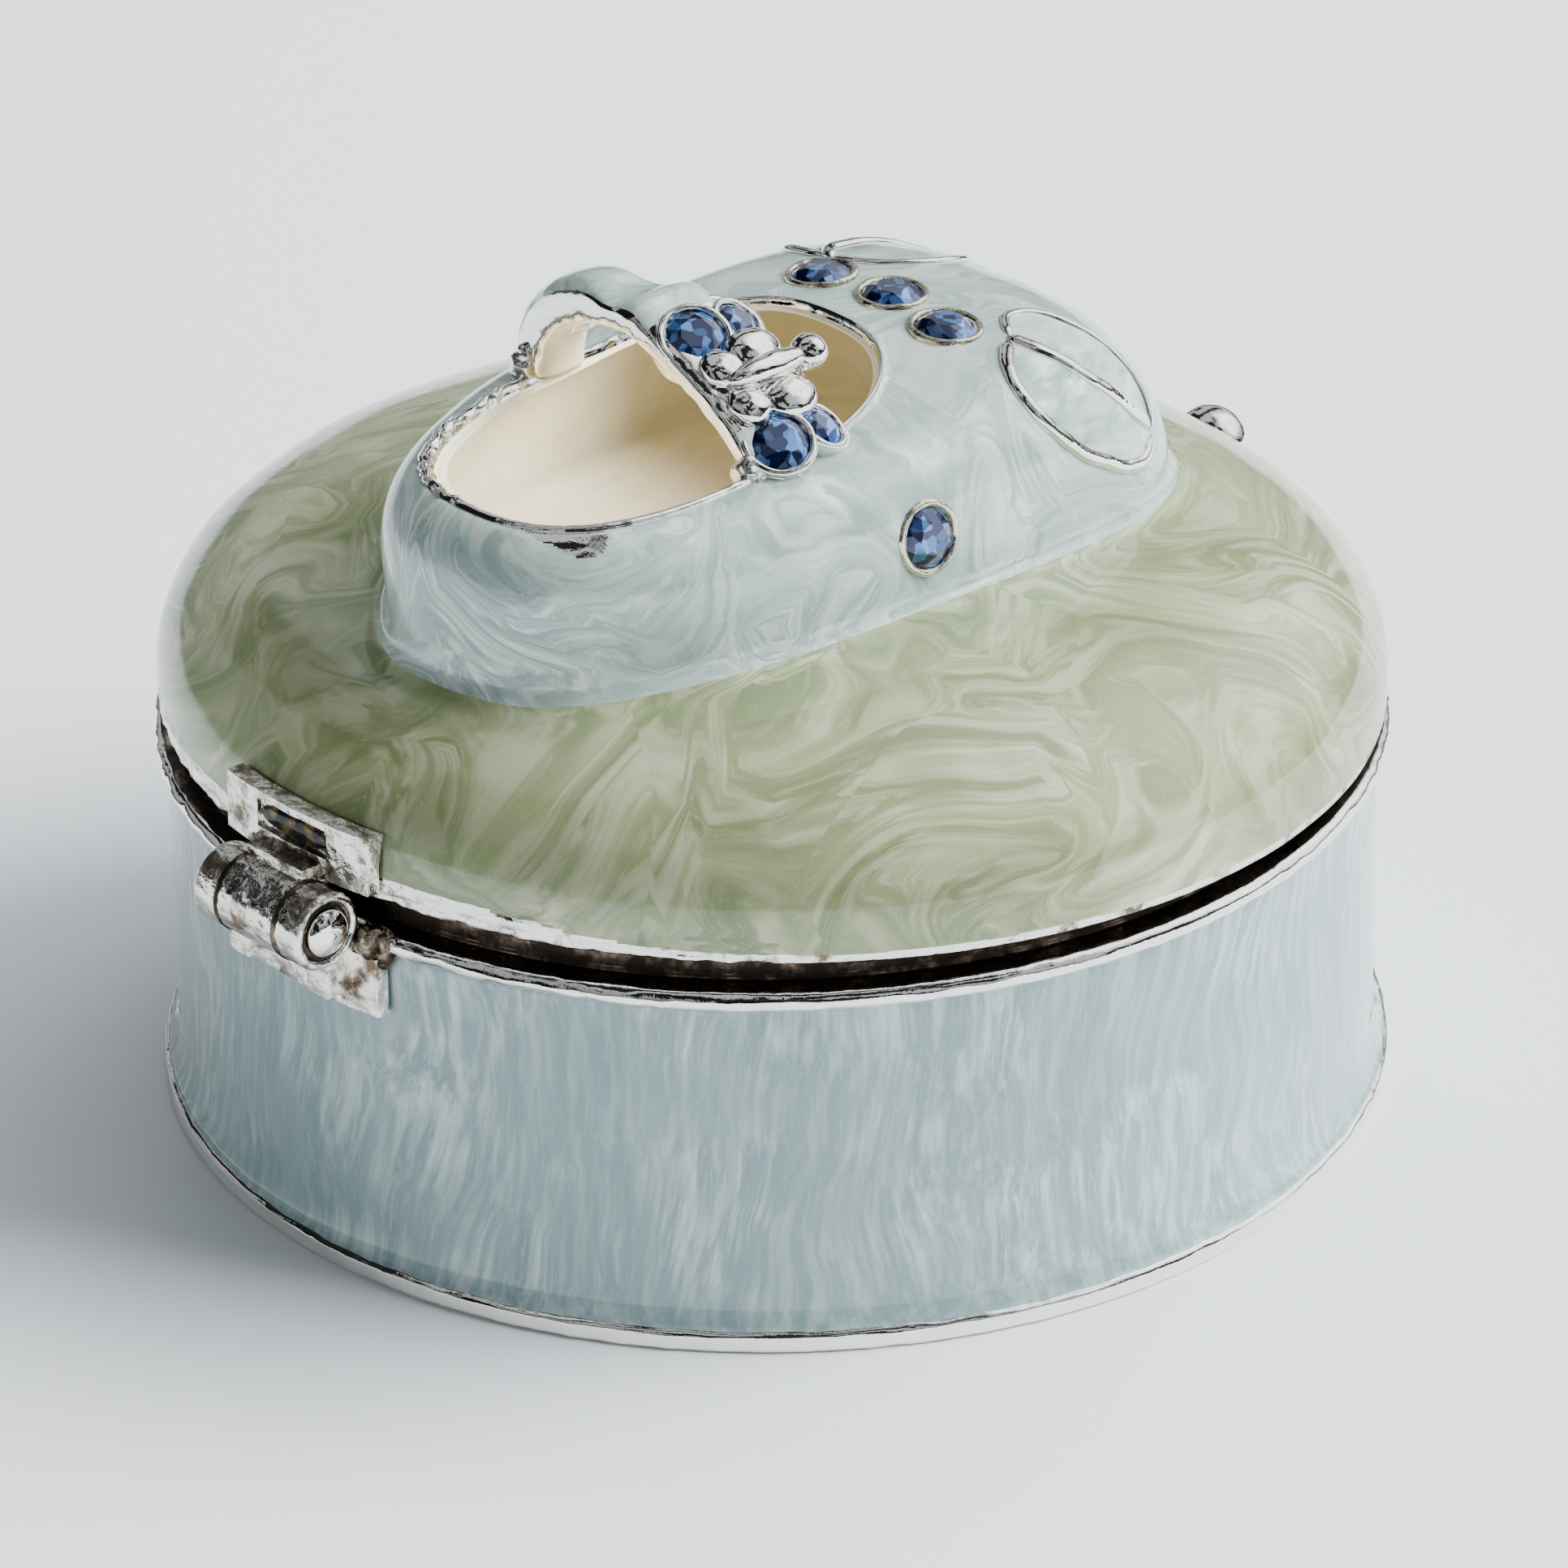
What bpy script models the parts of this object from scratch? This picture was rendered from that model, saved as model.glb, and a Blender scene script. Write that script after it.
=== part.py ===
"""Round enamelled trinket box with a baby shoe on its hinged lid.

Metres, +Z up. The origin is the centre of the underside. The hinge is at +Y,
the thumb piece and the toe of the shoe are at -Y.
"""
import math

import bmesh
import bpy
from mathutils import Matrix, Vector
from mathutils.bvhtree import BVHTree

MM = 0.001

# Base cup
WALL_RADIUS = 30.1 * MM
FOOT_STEP = 0.9 * MM
FOOT_HEIGHT = 0.8 * MM
WALL_FLARE_HEIGHT = 2.6 * MM
WALL_THICKNESS = 1.8 * MM
FLOOR_THICKNESS = 1.6 * MM
FLOOR_CORNER = 0.8 * MM
RIM_OVERHANG = 0.7 * MM
RIM_HEIGHT = 1.1 * MM
RIM_TOP = 19.45 * MM
COLLAR_RISE = 1.3 * MM
COLLAR_THICKNESS = 1.0 * MM
COLLAR_CLEARANCE = 0.35 * MM

# Lid shell, in the lid's own frame: the centre of its lower edge is the origin
LID_SETBACK = 0.34 * MM
LID_GAP = 0.3 * MM
LID_LEAN = math.radians(1.3)
LID_EDGE_THICKNESS = 1.0 * MM
LID_EDGE_HEIGHT = 1.8 * MM
LID_WALL = 1.5 * MM
DOME_RISE = 7.8 * MM
DOME_SHOULDER = 4.2

# Shoe on the lid
SHOE_OFFSET = -0.7 * MM
SHOE_LENGTH = 43.5 * MM
SHOE_CENTRE = 1.7 * MM
SHOE_WIDTH = 25.8 * MM
SHOE_TOE_SPREAD = 0.043
HEEL_LEFT_ROUNDNESS = 2.67
HEEL_RIGHT_ROUNDNESS = 1.96
TOE_ROUNDNESS = 3.0
SHOE_ARCH = 1.9
ARCH_END = math.radians(89.0)
SHOE_FILLET = 0.9 * MM
SHOE_WALL = 1.3 * MM
SHOE_FLOOR = 1.5 * MM
HEEL_BULGE = 0.68 * MM
VAMP_BULGE = 1.55 * MM
HOLLOW_FULLNESS = 0.3
LIP_DROP = 0.5 * MM
TOE_SOLID = 6.0 * MM
SIDE_SOLID = 2.2 * MM
OPENING_LENGTH = 25.1 * MM
OPENING_CENTRE = 9.0 * MM
OPENING_WIDTH = 16.2 * MM
OPENING_ROUNDNESS = 2.56
OPENING_SHIFT = -0.38 * MM
OPENING_SKEW = -0.5 * MM
HEEL_RISE = 16.5 * MM
VAMP_RISE = 18.7 * MM

# Strap over the foot opening
STRAP_RISE = 5.15 * MM
STRAP_CREST = 1.5 * MM
STRAP_FAR_FULLNESS = 2.3
STRAP_NEAR_FULLNESS = 1.35
STRAP_BACK = 9.8 * MM
STRAP_WIDTH = 4.6 * MM
STRAP_SPREAD = 1.8 * MM
STRAP_THICKNESS = 1.3 * MM
STRAP_ROOT = 1.4 * MM

# Stones and their settings
STONE_RADIUS = 1.5 * MM
SMALL_STONE_RADIUS = 1.1 * MM
STONE_CROWN = 0.45 * MM
STONE_DEPTH = 0.5 * MM
STONE_CLEARANCE = 0.12 * MM
SETTING_WALL = 0.3 * MM
SETTING_HEIGHT = 0.7 * MM
VAMP_STONE_SPACING = 4.4 * MM
VAMP_STONE_CURVE = 0.6 * MM
VAMP_STONE_SETBACK = 3.75 * MM
SIDE_STONE_POSITION = 2.4 * MM
SIDE_STONE_HEIGHT = 13.0 * MM

# Butterfly on the strap
WING_STONE_SPREAD = 3.4 * MM
WING_STONE_PITCH = 2.8 * MM
WING_TILT = math.radians(18.0)
WING_CUP_HEIGHT = 1.7 * MM
BUTTERFLY_SIDE = 5.0 * MM
BUTTERFLY_LENGTH = 5.4 * MM
BUTTERFLY_BODY_RADIUS = 0.75 * MM

# Hinge
BARREL_RADIUS = 2.0 * MM
BARREL_LENGTH = 7.2 * MM
MIDDLE_KNUCKLE = 4.0 * MM
KNUCKLE_GAP = 0.15 * MM
PIN_RADIUS = 0.8 * MM
PIN_CLEARANCE = 0.1 * MM
PIN_HEAD_RADIUS = 1.3 * MM
PIN_HEAD_HEIGHT = 0.6 * MM
HINGE_CLEARANCE = 0.25 * MM
HINGE_RISE = 0.4 * MM
LEAF_WIDTH = 10.2 * MM
LEAF_THICKNESS = 0.7 * MM
BASE_LEAF_HEIGHT = 3.1 * MM
LID_LEAF_HEIGHT = 3.0 * MM
LEAF_GAP = 0.2 * MM
LID_LEAF_LIFT = 0.55 * MM
LEAF_DEPTH = 4.0 * MM
POCKET_WIDTH = 5.0 * MM
POCKET_HEIGHT = 1.5 * MM
POCKET_DEPTH = 0.4 * MM

# Thumb piece
THUMB_WIDTH = 4.3 * MM
THUMB_DEPTH = 4.2 * MM
THUMB_HEIGHT = 4.4 * MM
THUMB_REACH = 0.6 * MM
THUMB_LIFT = 2.9 * MM

# Facets
ROUND_STEPS = 60
SMALL_STEPS = 20
STONE_SIDES = 12

FOOT_RADIUS = WALL_RADIUS + FOOT_STEP
RIM_RADIUS = WALL_RADIUS + RIM_OVERHANG
LID_RADIUS = RIM_RADIUS - LID_SETBACK
COLLAR_RADIUS = LID_RADIUS - LID_EDGE_THICKNESS - COLLAR_CLEARANCE
LID_CENTRE = Vector((0.0, 0.0, RIM_TOP + LID_GAP + LID_RADIUS * math.sin(LID_LEAN)))
HINGE_AXIS = Vector((0.0, WALL_RADIUS + HINGE_CLEARANCE + BARREL_RADIUS, RIM_TOP + HINGE_RISE))
LID_FRAME = Matrix.Translation(LID_CENTRE) @ Matrix.Rotation(LID_LEAN, 4, "X")
LID_AXIS = LID_FRAME.inverted() @ HINGE_AXIS
DOME_TOP = LID_EDGE_HEIGHT + DOME_RISE
SHOE_INSIDE_FLOOR = DOME_TOP - LID_WALL + SHOE_FLOOR


def clear_scene():
    for obj in list(bpy.data.objects):
        bpy.data.objects.remove(obj, do_unlink=True)


def new_collection(name):
    collection = bpy.data.collections.new(name)
    bpy.context.scene.collection.children.link(collection)
    return collection


def new_material(name, colour, roughness, metallic):
    material = bpy.data.materials.new(name)
    material.use_nodes = True
    shader = material.node_tree.nodes["Principled BSDF"]
    shader.inputs["Base Color"].default_value = (*colour, 1.0)
    shader.inputs["Roughness"].default_value = roughness
    shader.inputs["Metallic"].default_value = metallic
    return material


def add_object(name, bm, material):
    """Turns a bmesh into a smooth-shaded object of the box."""
    mesh = bpy.data.meshes.new(name)
    bm.to_mesh(mesh)
    bm.free()
    mesh.shade_smooth()
    mesh.set_sharp_from_angle(angle=math.radians(35.0))
    obj = bpy.data.objects.new(name, mesh)
    obj.data.materials.append(material)
    PARTS.objects.link(obj)
    return obj


def add_cutter(name, bm):
    """Turns a bmesh into a hidden object that only shapes another one."""
    mesh = bpy.data.meshes.new(name)
    bm.to_mesh(mesh)
    bm.free()
    obj = bpy.data.objects.new(name, mesh)
    obj.hide_render = True
    obj.display_type = "WIRE"
    CUTTERS.objects.link(obj)
    return obj


def apply_boolean(obj, cutter, operation):
    modifier = obj.modifiers.new(operation.lower() + "_" + cutter.name, "BOOLEAN")
    modifier.operation = operation
    modifier.object = cutter
    modifier.solver = "EXACT"


def add_screw(obj, steps):
    """Turns a profile in the XZ plane about Z."""
    screw = obj.modifiers.new("turned", "SCREW")
    screw.axis = "Z"
    screw.steps = steps
    screw.render_steps = steps
    screw.use_merge_vertices = True
    screw.merge_threshold = 0.00001
    screw.use_smooth_shade = True


def profile_mesh(points):
    """Open profile from (radius, height) pairs, running down its outer side."""
    bm = bmesh.new()
    verts = [bm.verts.new((radius, 0.0, height)) for radius, height in points]
    for first, second in zip(verts, verts[1:]):
        bm.edges.new((first, second))
    return bm


def loft(rings):
    """Closed skin through rings of equal count, with a flat cap at each end."""
    bm = bmesh.new()
    rows = [[bm.verts.new(point) for point in ring] for ring in rings]
    count = len(rows[0])
    for row, following in zip(rows, rows[1:]):
        for i in range(count):
            j = (i + 1) % count
            bm.faces.new((row[i], row[j], following[j], following[i]))
    bm.faces.new(list(reversed(rows[0])))
    bm.faces.new(rows[-1])
    bmesh.ops.recalc_face_normals(bm, faces=bm.faces)
    return bm


def cylinder_mesh(radius, length, steps, matrix):
    bm = bmesh.new()
    bmesh.ops.create_cone(
        bm, cap_ends=True, segments=steps, radius1=radius, radius2=radius, depth=length, matrix=matrix
    )
    return bm


def box_mesh(low, high):
    bm = bmesh.new()
    low, high = Vector(low), Vector(high)
    size = Matrix.Diagonal((*(high - low), 1.0))
    bmesh.ops.create_cube(bm, size=1.0, matrix=Matrix.Translation((low + high) / 2) @ size)
    return bm


def facing(point, normal):
    """Matrix that puts local +Z along a surface normal at a point."""
    return Matrix.Translation(point) @ normal.to_track_quat("Z", "Y").to_matrix().to_4x4()


def mix(first, second, share):
    return first + (second - first) * share


def smooth_share(value):
    value = min(max(value, 0.0), 1.0)
    return value * value * (3.0 - 2.0 * value)


def dome_height(radius, outer_radius, edge, rise):
    """Height of the lid's dome: straight edge, round shoulder, nearly flat top."""
    share = min(radius / outer_radius, 1.0)
    return edge + rise * math.sqrt(1.0 - share ** DOME_SHOULDER)


def lid_surface(x, y):
    return dome_height(math.hypot(x, y), LID_RADIUS, LID_EDGE_HEIGHT, DOME_RISE)


def signed_power(value, power):
    return math.copysign(abs(value) ** power, value)


def sole_outline(angle, grow):
    """Point of the shoe's outline on the lid, with heel at +Y and a wider toe."""
    heel = mix(HEEL_LEFT_ROUNDNESS, HEEL_RIGHT_ROUNDNESS, smooth_share(0.5 + math.cos(angle)))
    power = 2.0 / mix(heel, TOE_ROUNDNESS, toe_share(angle))
    along = signed_power(math.sin(angle), power)
    across = signed_power(math.cos(angle), power)
    y = SHOE_CENTRE + (SHOE_LENGTH / 2 + grow) * along
    half_width = SHOE_WIDTH / 2 + grow - SHOE_TOE_SPREAD * (y - SHOE_CENTRE)
    return Vector((SHOE_OFFSET + half_width * across, y, 0.0))


def toe_share(angle):
    """0 round the heel, 1 at the tip of the toe."""
    return smooth_share(0.5 - 0.75 * math.sin(angle))


def inside_outline(angle):
    """Outline of the foot hollow on its floor, with a solid tip at the toe."""
    inset = mix(SIDE_SOLID, TOE_SOLID, smooth_share(-math.sin(angle)))
    return sole_outline(angle, -inset)


def opening_outline(angle, grow):
    """Point of the foot opening's edge, which rises towards the vamp."""
    power = 2.0 / OPENING_ROUNDNESS
    middle = SHOE_OFFSET + OPENING_SHIFT + OPENING_SKEW * math.sin(angle)
    x = middle + (OPENING_WIDTH / 2 + grow) * signed_power(math.cos(angle), power)
    y = OPENING_CENTRE + (OPENING_LENGTH / 2 + grow) * signed_power(math.sin(angle), power)
    forward = 0.5 - 0.5 * math.sin(angle)
    return Vector((x, y, mix(HEEL_RISE, VAMP_RISE, forward ** 2.2)))


def wall_curve(start, end, angle, share, fullness):
    """Point on the shoe's side between the lid and the opening, as a round arch."""
    toe = toe_share(angle)
    power = 2.0 / SHOE_ARCH
    turn = share * ARCH_END
    across = (1.0 - math.cos(turn) ** power) / (1.0 - math.cos(ARCH_END) ** power)
    rise = (math.sin(turn) / math.sin(ARCH_END)) ** power
    point = start.lerp(end, across)
    point.z = mix(start.z, end.z, rise)
    outward = Vector((start.x - end.x, start.y - end.y, 0.0)).normalized()
    upward = Vector((0.0, 0.0, 1.0))
    bulge = outward * HEEL_BULGE * (1.0 - toe) + upward * VAMP_BULGE * toe
    return point + bulge * fullness * math.sin(math.pi * share) ** 2


def ring(function):
    return [function(2.0 * math.pi * i / ROUND_STEPS) for i in range(ROUND_STEPS)]


def circle_ring(radius, height):
    return ring(lambda a: Vector((radius * math.cos(a), radius * math.sin(a), height)))


def lid_rings():
    """Sections of the lid casting, from the middle of its underside to the shoe's floor."""
    inner_radius = LID_RADIUS - LID_EDGE_THICKNESS
    inner_rise = DOME_TOP - LID_WALL - LID_EDGE_HEIGHT
    rings = []
    for share in (0.25, 0.5, 0.7, 0.84, 0.93, 0.98, 1.0):
        radius = inner_radius * share
        rings.append(circle_ring(radius, dome_height(radius, inner_radius, LID_EDGE_HEIGHT, inner_rise)))
    rings.append(circle_ring(inner_radius, 0.0))
    rings.append(circle_ring(LID_RADIUS, 0.0))
    for share in (1.0, 0.985, 0.95):
        radius = LID_RADIUS * share
        rings.append(circle_ring(radius, lid_surface(radius, 0.0)))
    for share in (0.25, 0.55, 0.8, 1.0):
        rings.append(ring(lambda a: dome_point(a, share)))
    for share in (0.35, 1.0):
        rings.append(ring(lambda a: fillet_point(a, share)))
    for share in (0.2, 0.36, 0.52, 0.68, 0.84, 1.0):
        rings.append(ring(lambda a: shoe_point(a, share)))
    for share in (1.0, 0.8, 0.6, 0.4, 0.2, 0.0):
        rings.append(ring(lambda a: hollow_point(a, share)))
    return rings


def dome_point(angle, share):
    """Between the lid's shoulder and the foot of the shoe's fillet."""
    shoulder = Vector((math.cos(angle), math.sin(angle), 0.0)) * LID_RADIUS * 0.95
    point = shoulder.lerp(sole_outline(angle, SHOE_FILLET), share)
    point.z = lid_surface(point.x, point.y)
    return point


def fillet_point(angle, share):
    """Soft corner where the shoe grows out of the lid."""
    point = sole_outline(angle, SHOE_FILLET * (1.0 - share) ** 2)
    point.z = lid_surface(point.x, point.y) + SHOE_FILLET * share ** 2
    return point


def shoe_point(angle, share):
    return wall_curve(fillet_point(angle, 1.0), opening_outline(angle, 0.0), angle, share, 1.0)


def hollow_point(angle, share):
    start = inside_outline(angle)
    start.z = SHOE_INSIDE_FLOOR
    end = opening_outline(angle, -SHOE_WALL)
    end.z -= LIP_DROP
    return wall_curve(start, end, angle, share, HOLLOW_FULLNESS)


def strap_ends():
    """Middle, crest and half spans of the strap's arch, from the opening's edge."""
    middle_y = STRAP_BACK - STRAP_WIDTH / 2
    share = (middle_y - OPENING_CENTRE) / (OPENING_LENGTH / 2)
    angle = math.asin(signed_power(share, OPENING_ROUNDNESS / 2))
    half_span = OPENING_WIDTH / 2 * math.cos(angle) ** (2.0 / OPENING_ROUNDNESS) - 0.1 * SHOE_WALL
    return SHOE_OFFSET + half_span, SHOE_OFFSET - half_span, opening_outline(angle, 0.0).z


def strap_curve(share):
    """Outer line of the arch: share 0 at +X, 1 at -X; fuller at +X, sloping at -X."""
    far, near, foot = strap_ends()
    crest = SHOE_OFFSET + STRAP_CREST
    turn = math.pi * share
    power = 2.0 / (STRAP_FAR_FULLNESS if share < 0.5 else STRAP_NEAR_FULLNESS)
    reach = far - crest if share < 0.5 else crest - near
    x = crest + reach * signed_power(math.cos(turn), power)
    return Vector((x, 0.0, foot + STRAP_RISE * math.sin(turn) ** power))


def strap_normal(share):
    before = strap_curve(max(share - 0.02, 0.0))
    after = strap_curve(min(share + 0.02, 1.0))
    along = (after - before).normalized()
    return Vector((along.z, 0.0, -along.x))


def strap_share_at(x):
    """Share of the arch at which its outer line passes over a sideways place."""
    low, high = 0.0, 1.0
    for _ in range(40):
        middle = (low + high) / 2
        if strap_curve(middle).x > x:
            low = middle
        else:
            high = middle
    return low


def strap_section(share):
    """Crowned band across the arch, wider where the butterfly sits."""
    point = strap_curve(share)
    normal = strap_normal(share)
    spread = STRAP_SPREAD * smooth_share((share - 0.42) / 0.14) * smooth_share((1.0 - share) / 0.12)
    width = STRAP_WIDTH + spread
    shape = []
    for across, up in ((0.0, 0.2), (0.12, 0.62), (0.34, 0.95), (0.66, 0.95), (0.88, 0.62), (1.0, 0.2)):
        crown = up * STRAP_THICKNESS - STRAP_THICKNESS * 0.5
        shape.append(point + normal * crown + Vector((0.0, STRAP_BACK - across * width, 0.0)))
    for across in (0.95, 0.5, 0.05):
        low = -STRAP_THICKNESS
        shape.append(point + normal * low + Vector((0.0, STRAP_BACK - across * width, 0.0)))
    return shape


def strap_mesh():
    sections = [strap_section(i / 22) for i in range(23)]
    first = [point - Vector((0.0, 0.0, STRAP_ROOT)) for point in sections[0]]
    last = [point - Vector((0.0, 0.0, STRAP_ROOT)) for point in sections[-1]]
    return loft([first, *sections, last])


def stone_mesh(radius, matrix):
    """Brilliant: flat table, sloping crown, belt and a cut-off cone below."""
    levels = (
        (radius * 0.45, -STONE_DEPTH),
        (radius, -0.1 * STONE_DEPTH),
        (radius, 0.1 * STONE_DEPTH),
        (radius * 0.62, STONE_CROWN),
    )
    rings = []
    for ring_radius, height in levels:
        points = []
        for i in range(STONE_SIDES):
            turn = 2.0 * math.pi * i / STONE_SIDES
            points.append(matrix @ Vector((ring_radius * math.cos(turn), ring_radius * math.sin(turn), height)))
        rings.append(points)
    return loft(rings)


def stone_places(surface):
    """Name, radius, setting height and matrix of each stone, found on the shoe's surface."""
    places = []
    row_y = OPENING_CENTRE - OPENING_LENGTH / 2 - VAMP_STONE_SETBACK
    for name, step in (("left", -1), ("middle", 0), ("right", 1)):
        above = Vector((SHOE_OFFSET + step * VAMP_STONE_SPACING, row_y + abs(step) * VAMP_STONE_CURVE, 1.0))
        point, normal, _, _ = surface.ray_cast(above, Vector((0.0, 0.0, -1.0)))
        places.append(("stone_vamp_" + name, STONE_RADIUS, SETTING_HEIGHT, facing(point, normal)))
    for name, side in (("left", -1), ("right", 1)):
        beside = Vector((side, SIDE_STONE_POSITION, SIDE_STONE_HEIGHT))
        point, normal, _, _ = surface.ray_cast(beside, Vector((-side, 0.0, 0.0)))
        places.append(("stone_side_" + name, STONE_RADIUS, SETTING_HEIGHT, facing(point, normal)))
    middle = butterfly_share()
    slope = strap_normal(middle)
    along = Vector((-slope.z, 0.0, slope.x))
    for name, side in (("left", 1), ("right", -1)):
        centre = butterfly_centre() + along * side * WING_STONE_SPREAD
        for size, radius, place in (("large", STONE_RADIUS, 0.5), ("small", SMALL_STONE_RADIUS, -0.5)):
            tilt = Matrix.Rotation(-WING_TILT * math.copysign(1.0, place), 4, "X")
            lean = facing(Vector((0.0, 0.0, 0.0)), slope).to_3x3()
            normal = tilt.to_3x3() @ (lean @ Vector((0.0, 0.0, 1.0)))
            point = centre + Vector((0.0, WING_STONE_PITCH * place, 0.0))
            places.append((f"stone_wing_{name}_{size}", radius, WING_CUP_HEIGHT, facing(point, normal)))
    return places


def butterfly_share():
    return strap_share_at(SHOE_OFFSET - BUTTERFLY_SIDE)


def butterfly_centre():
    """Middle of the butterfly on the sloping side of the strap."""
    share = butterfly_share()
    y = STRAP_BACK - (STRAP_WIDTH + STRAP_SPREAD) / 2
    return strap_curve(share) + strap_normal(share) * 0.3 * STRAP_THICKNESS + Vector((0.0, y, 0.0))


def butterfly_body_mesh():
    """Bead along the strap's width, with a round head towards the toe."""
    share = butterfly_share()
    centre = butterfly_centre() + strap_normal(share) * 0.5 * BUTTERFLY_BODY_RADIUS
    turned = Matrix.Translation(centre)
    bm = bmesh.new()
    size = Matrix.Diagonal((BUTTERFLY_BODY_RADIUS, BUTTERFLY_LENGTH / 2, BUTTERFLY_BODY_RADIUS, 1.0))
    bmesh.ops.create_uvsphere(bm, u_segments=12, v_segments=8, radius=1.0, matrix=turned @ size)
    return bm


def make_base():
    """Turned cup: flat underside, foot band, wall, half-round rim and inner collar."""
    inner = COLLAR_RADIUS - WALL_THICKNESS + COLLAR_THICKNESS
    rim_bottom = RIM_TOP - RIM_HEIGHT
    collar_top = RIM_TOP + COLLAR_RISE
    points = [(0.0, FLOOR_THICKNESS), (inner - FLOOR_CORNER, FLOOR_THICKNESS)]
    points.append((inner, FLOOR_THICKNESS + FLOOR_CORNER))
    points.append((inner, RIM_TOP - RIM_HEIGHT))
    points.append((COLLAR_RADIUS - COLLAR_THICKNESS, RIM_TOP))
    points.append((COLLAR_RADIUS - COLLAR_THICKNESS, collar_top))
    points.append((COLLAR_RADIUS, collar_top))
    points.append((COLLAR_RADIUS, RIM_TOP))
    bead = RIM_HEIGHT * 0.3
    points.append((RIM_RADIUS - bead, RIM_TOP))
    points.append((RIM_RADIUS, RIM_TOP - bead))
    points.append((RIM_RADIUS, rim_bottom + bead))
    points.append((WALL_RADIUS, rim_bottom))
    points.append((WALL_RADIUS, WALL_FLARE_HEIGHT))
    points.append((mix(WALL_RADIUS, FOOT_RADIUS, 0.5), FOOT_HEIGHT))
    points.append((FOOT_RADIUS, FOOT_HEIGHT))
    points.append((FOOT_RADIUS, 0.0))
    points.append((0.0, 0.0))
    base = add_object("box_base", profile_mesh(points), BASE_ENAMEL)
    add_screw(base, ROUND_STEPS)
    notch_low = (-LEAF_WIDTH / 2 - LEAF_GAP, WALL_RADIUS - LEAF_GAP, rim_bottom - RIM_HEIGHT)
    notch_high = (LEAF_WIDTH / 2 + LEAF_GAP, RIM_RADIUS + RIM_HEIGHT, RIM_TOP + RIM_HEIGHT)
    apply_boolean(base, add_cutter("hinge_notch", box_mesh(notch_low, notch_high)), "DIFFERENCE")


def lid_cutter_profile(gap):
    """Outer profile of the lid's edge and shoulder, grown by a gap."""
    points = [(0.0, DOME_TOP + gap)]
    for share in (0.6, 0.8, 0.9, 0.96, 0.99, 1.0):
        radius = LID_RADIUS * share
        points.append((radius + gap * share, lid_surface(radius, 0.0) + gap))
    points.append((LID_RADIUS + gap, -LID_EDGE_HEIGHT))
    points.append((0.0, -LID_EDGE_HEIGHT))
    return points


def put_on_lid(obj):
    """Places an object made in the lid's own frame, so that it turns with the hinge."""
    obj.parent = LID_HINGE
    obj.matrix_parent_inverse = Matrix.Identity(4)
    obj.location = -LID_AXIS


def make_lid(places):
    """One casting: domed shell with the shoe, strap, butterfly and stone settings."""
    lid = add_object("lid_with_shoe", loft(lid_rings()), LID_ENAMEL)
    strap = add_cutter("strap", strap_mesh())
    body = add_cutter("butterfly_body", butterfly_body_mesh())
    joined = [strap, body]
    seats = []
    for name, radius, height, matrix in places:
        outer = radius + STONE_CLEARANCE + SETTING_WALL
        low = Matrix.Translation((0.0, 0.0, SETTING_HEIGHT * 0.3 - height / 2))
        joined.append(add_cutter("setting_" + name, cylinder_mesh(outer, height, SMALL_STEPS, matrix @ low)))
        depth = STONE_DEPTH + STONE_CLEARANCE
        sunk = Matrix.Translation((0.0, 0.0, STONE_DEPTH - depth))
        seat = cylinder_mesh(radius + STONE_CLEARANCE, 2 * STONE_DEPTH, SMALL_STEPS, matrix @ sunk)
        seats.append(add_cutter("seat_" + name, seat))
    for tool in joined:
        put_on_lid(tool)
        apply_boolean(lid, tool, "UNION")
    for tool in seats:
        put_on_lid(tool)
        apply_boolean(lid, tool, "DIFFERENCE")
    put_on_lid(lid)
    return lid


def make_stones(places):
    for name, radius, _, matrix in places:
        stone = add_object(name, stone_mesh(radius, matrix), BLUE_CRYSTAL)
        stone.data.shade_flat()
        put_on_lid(stone)


def sideways(centre, offset):
    """Matrix for a cylinder along X."""
    return Matrix.Translation(centre + Vector((offset, 0.0, 0.0))) @ Matrix.Rotation(math.pi / 2, 4, "Y")


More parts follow.
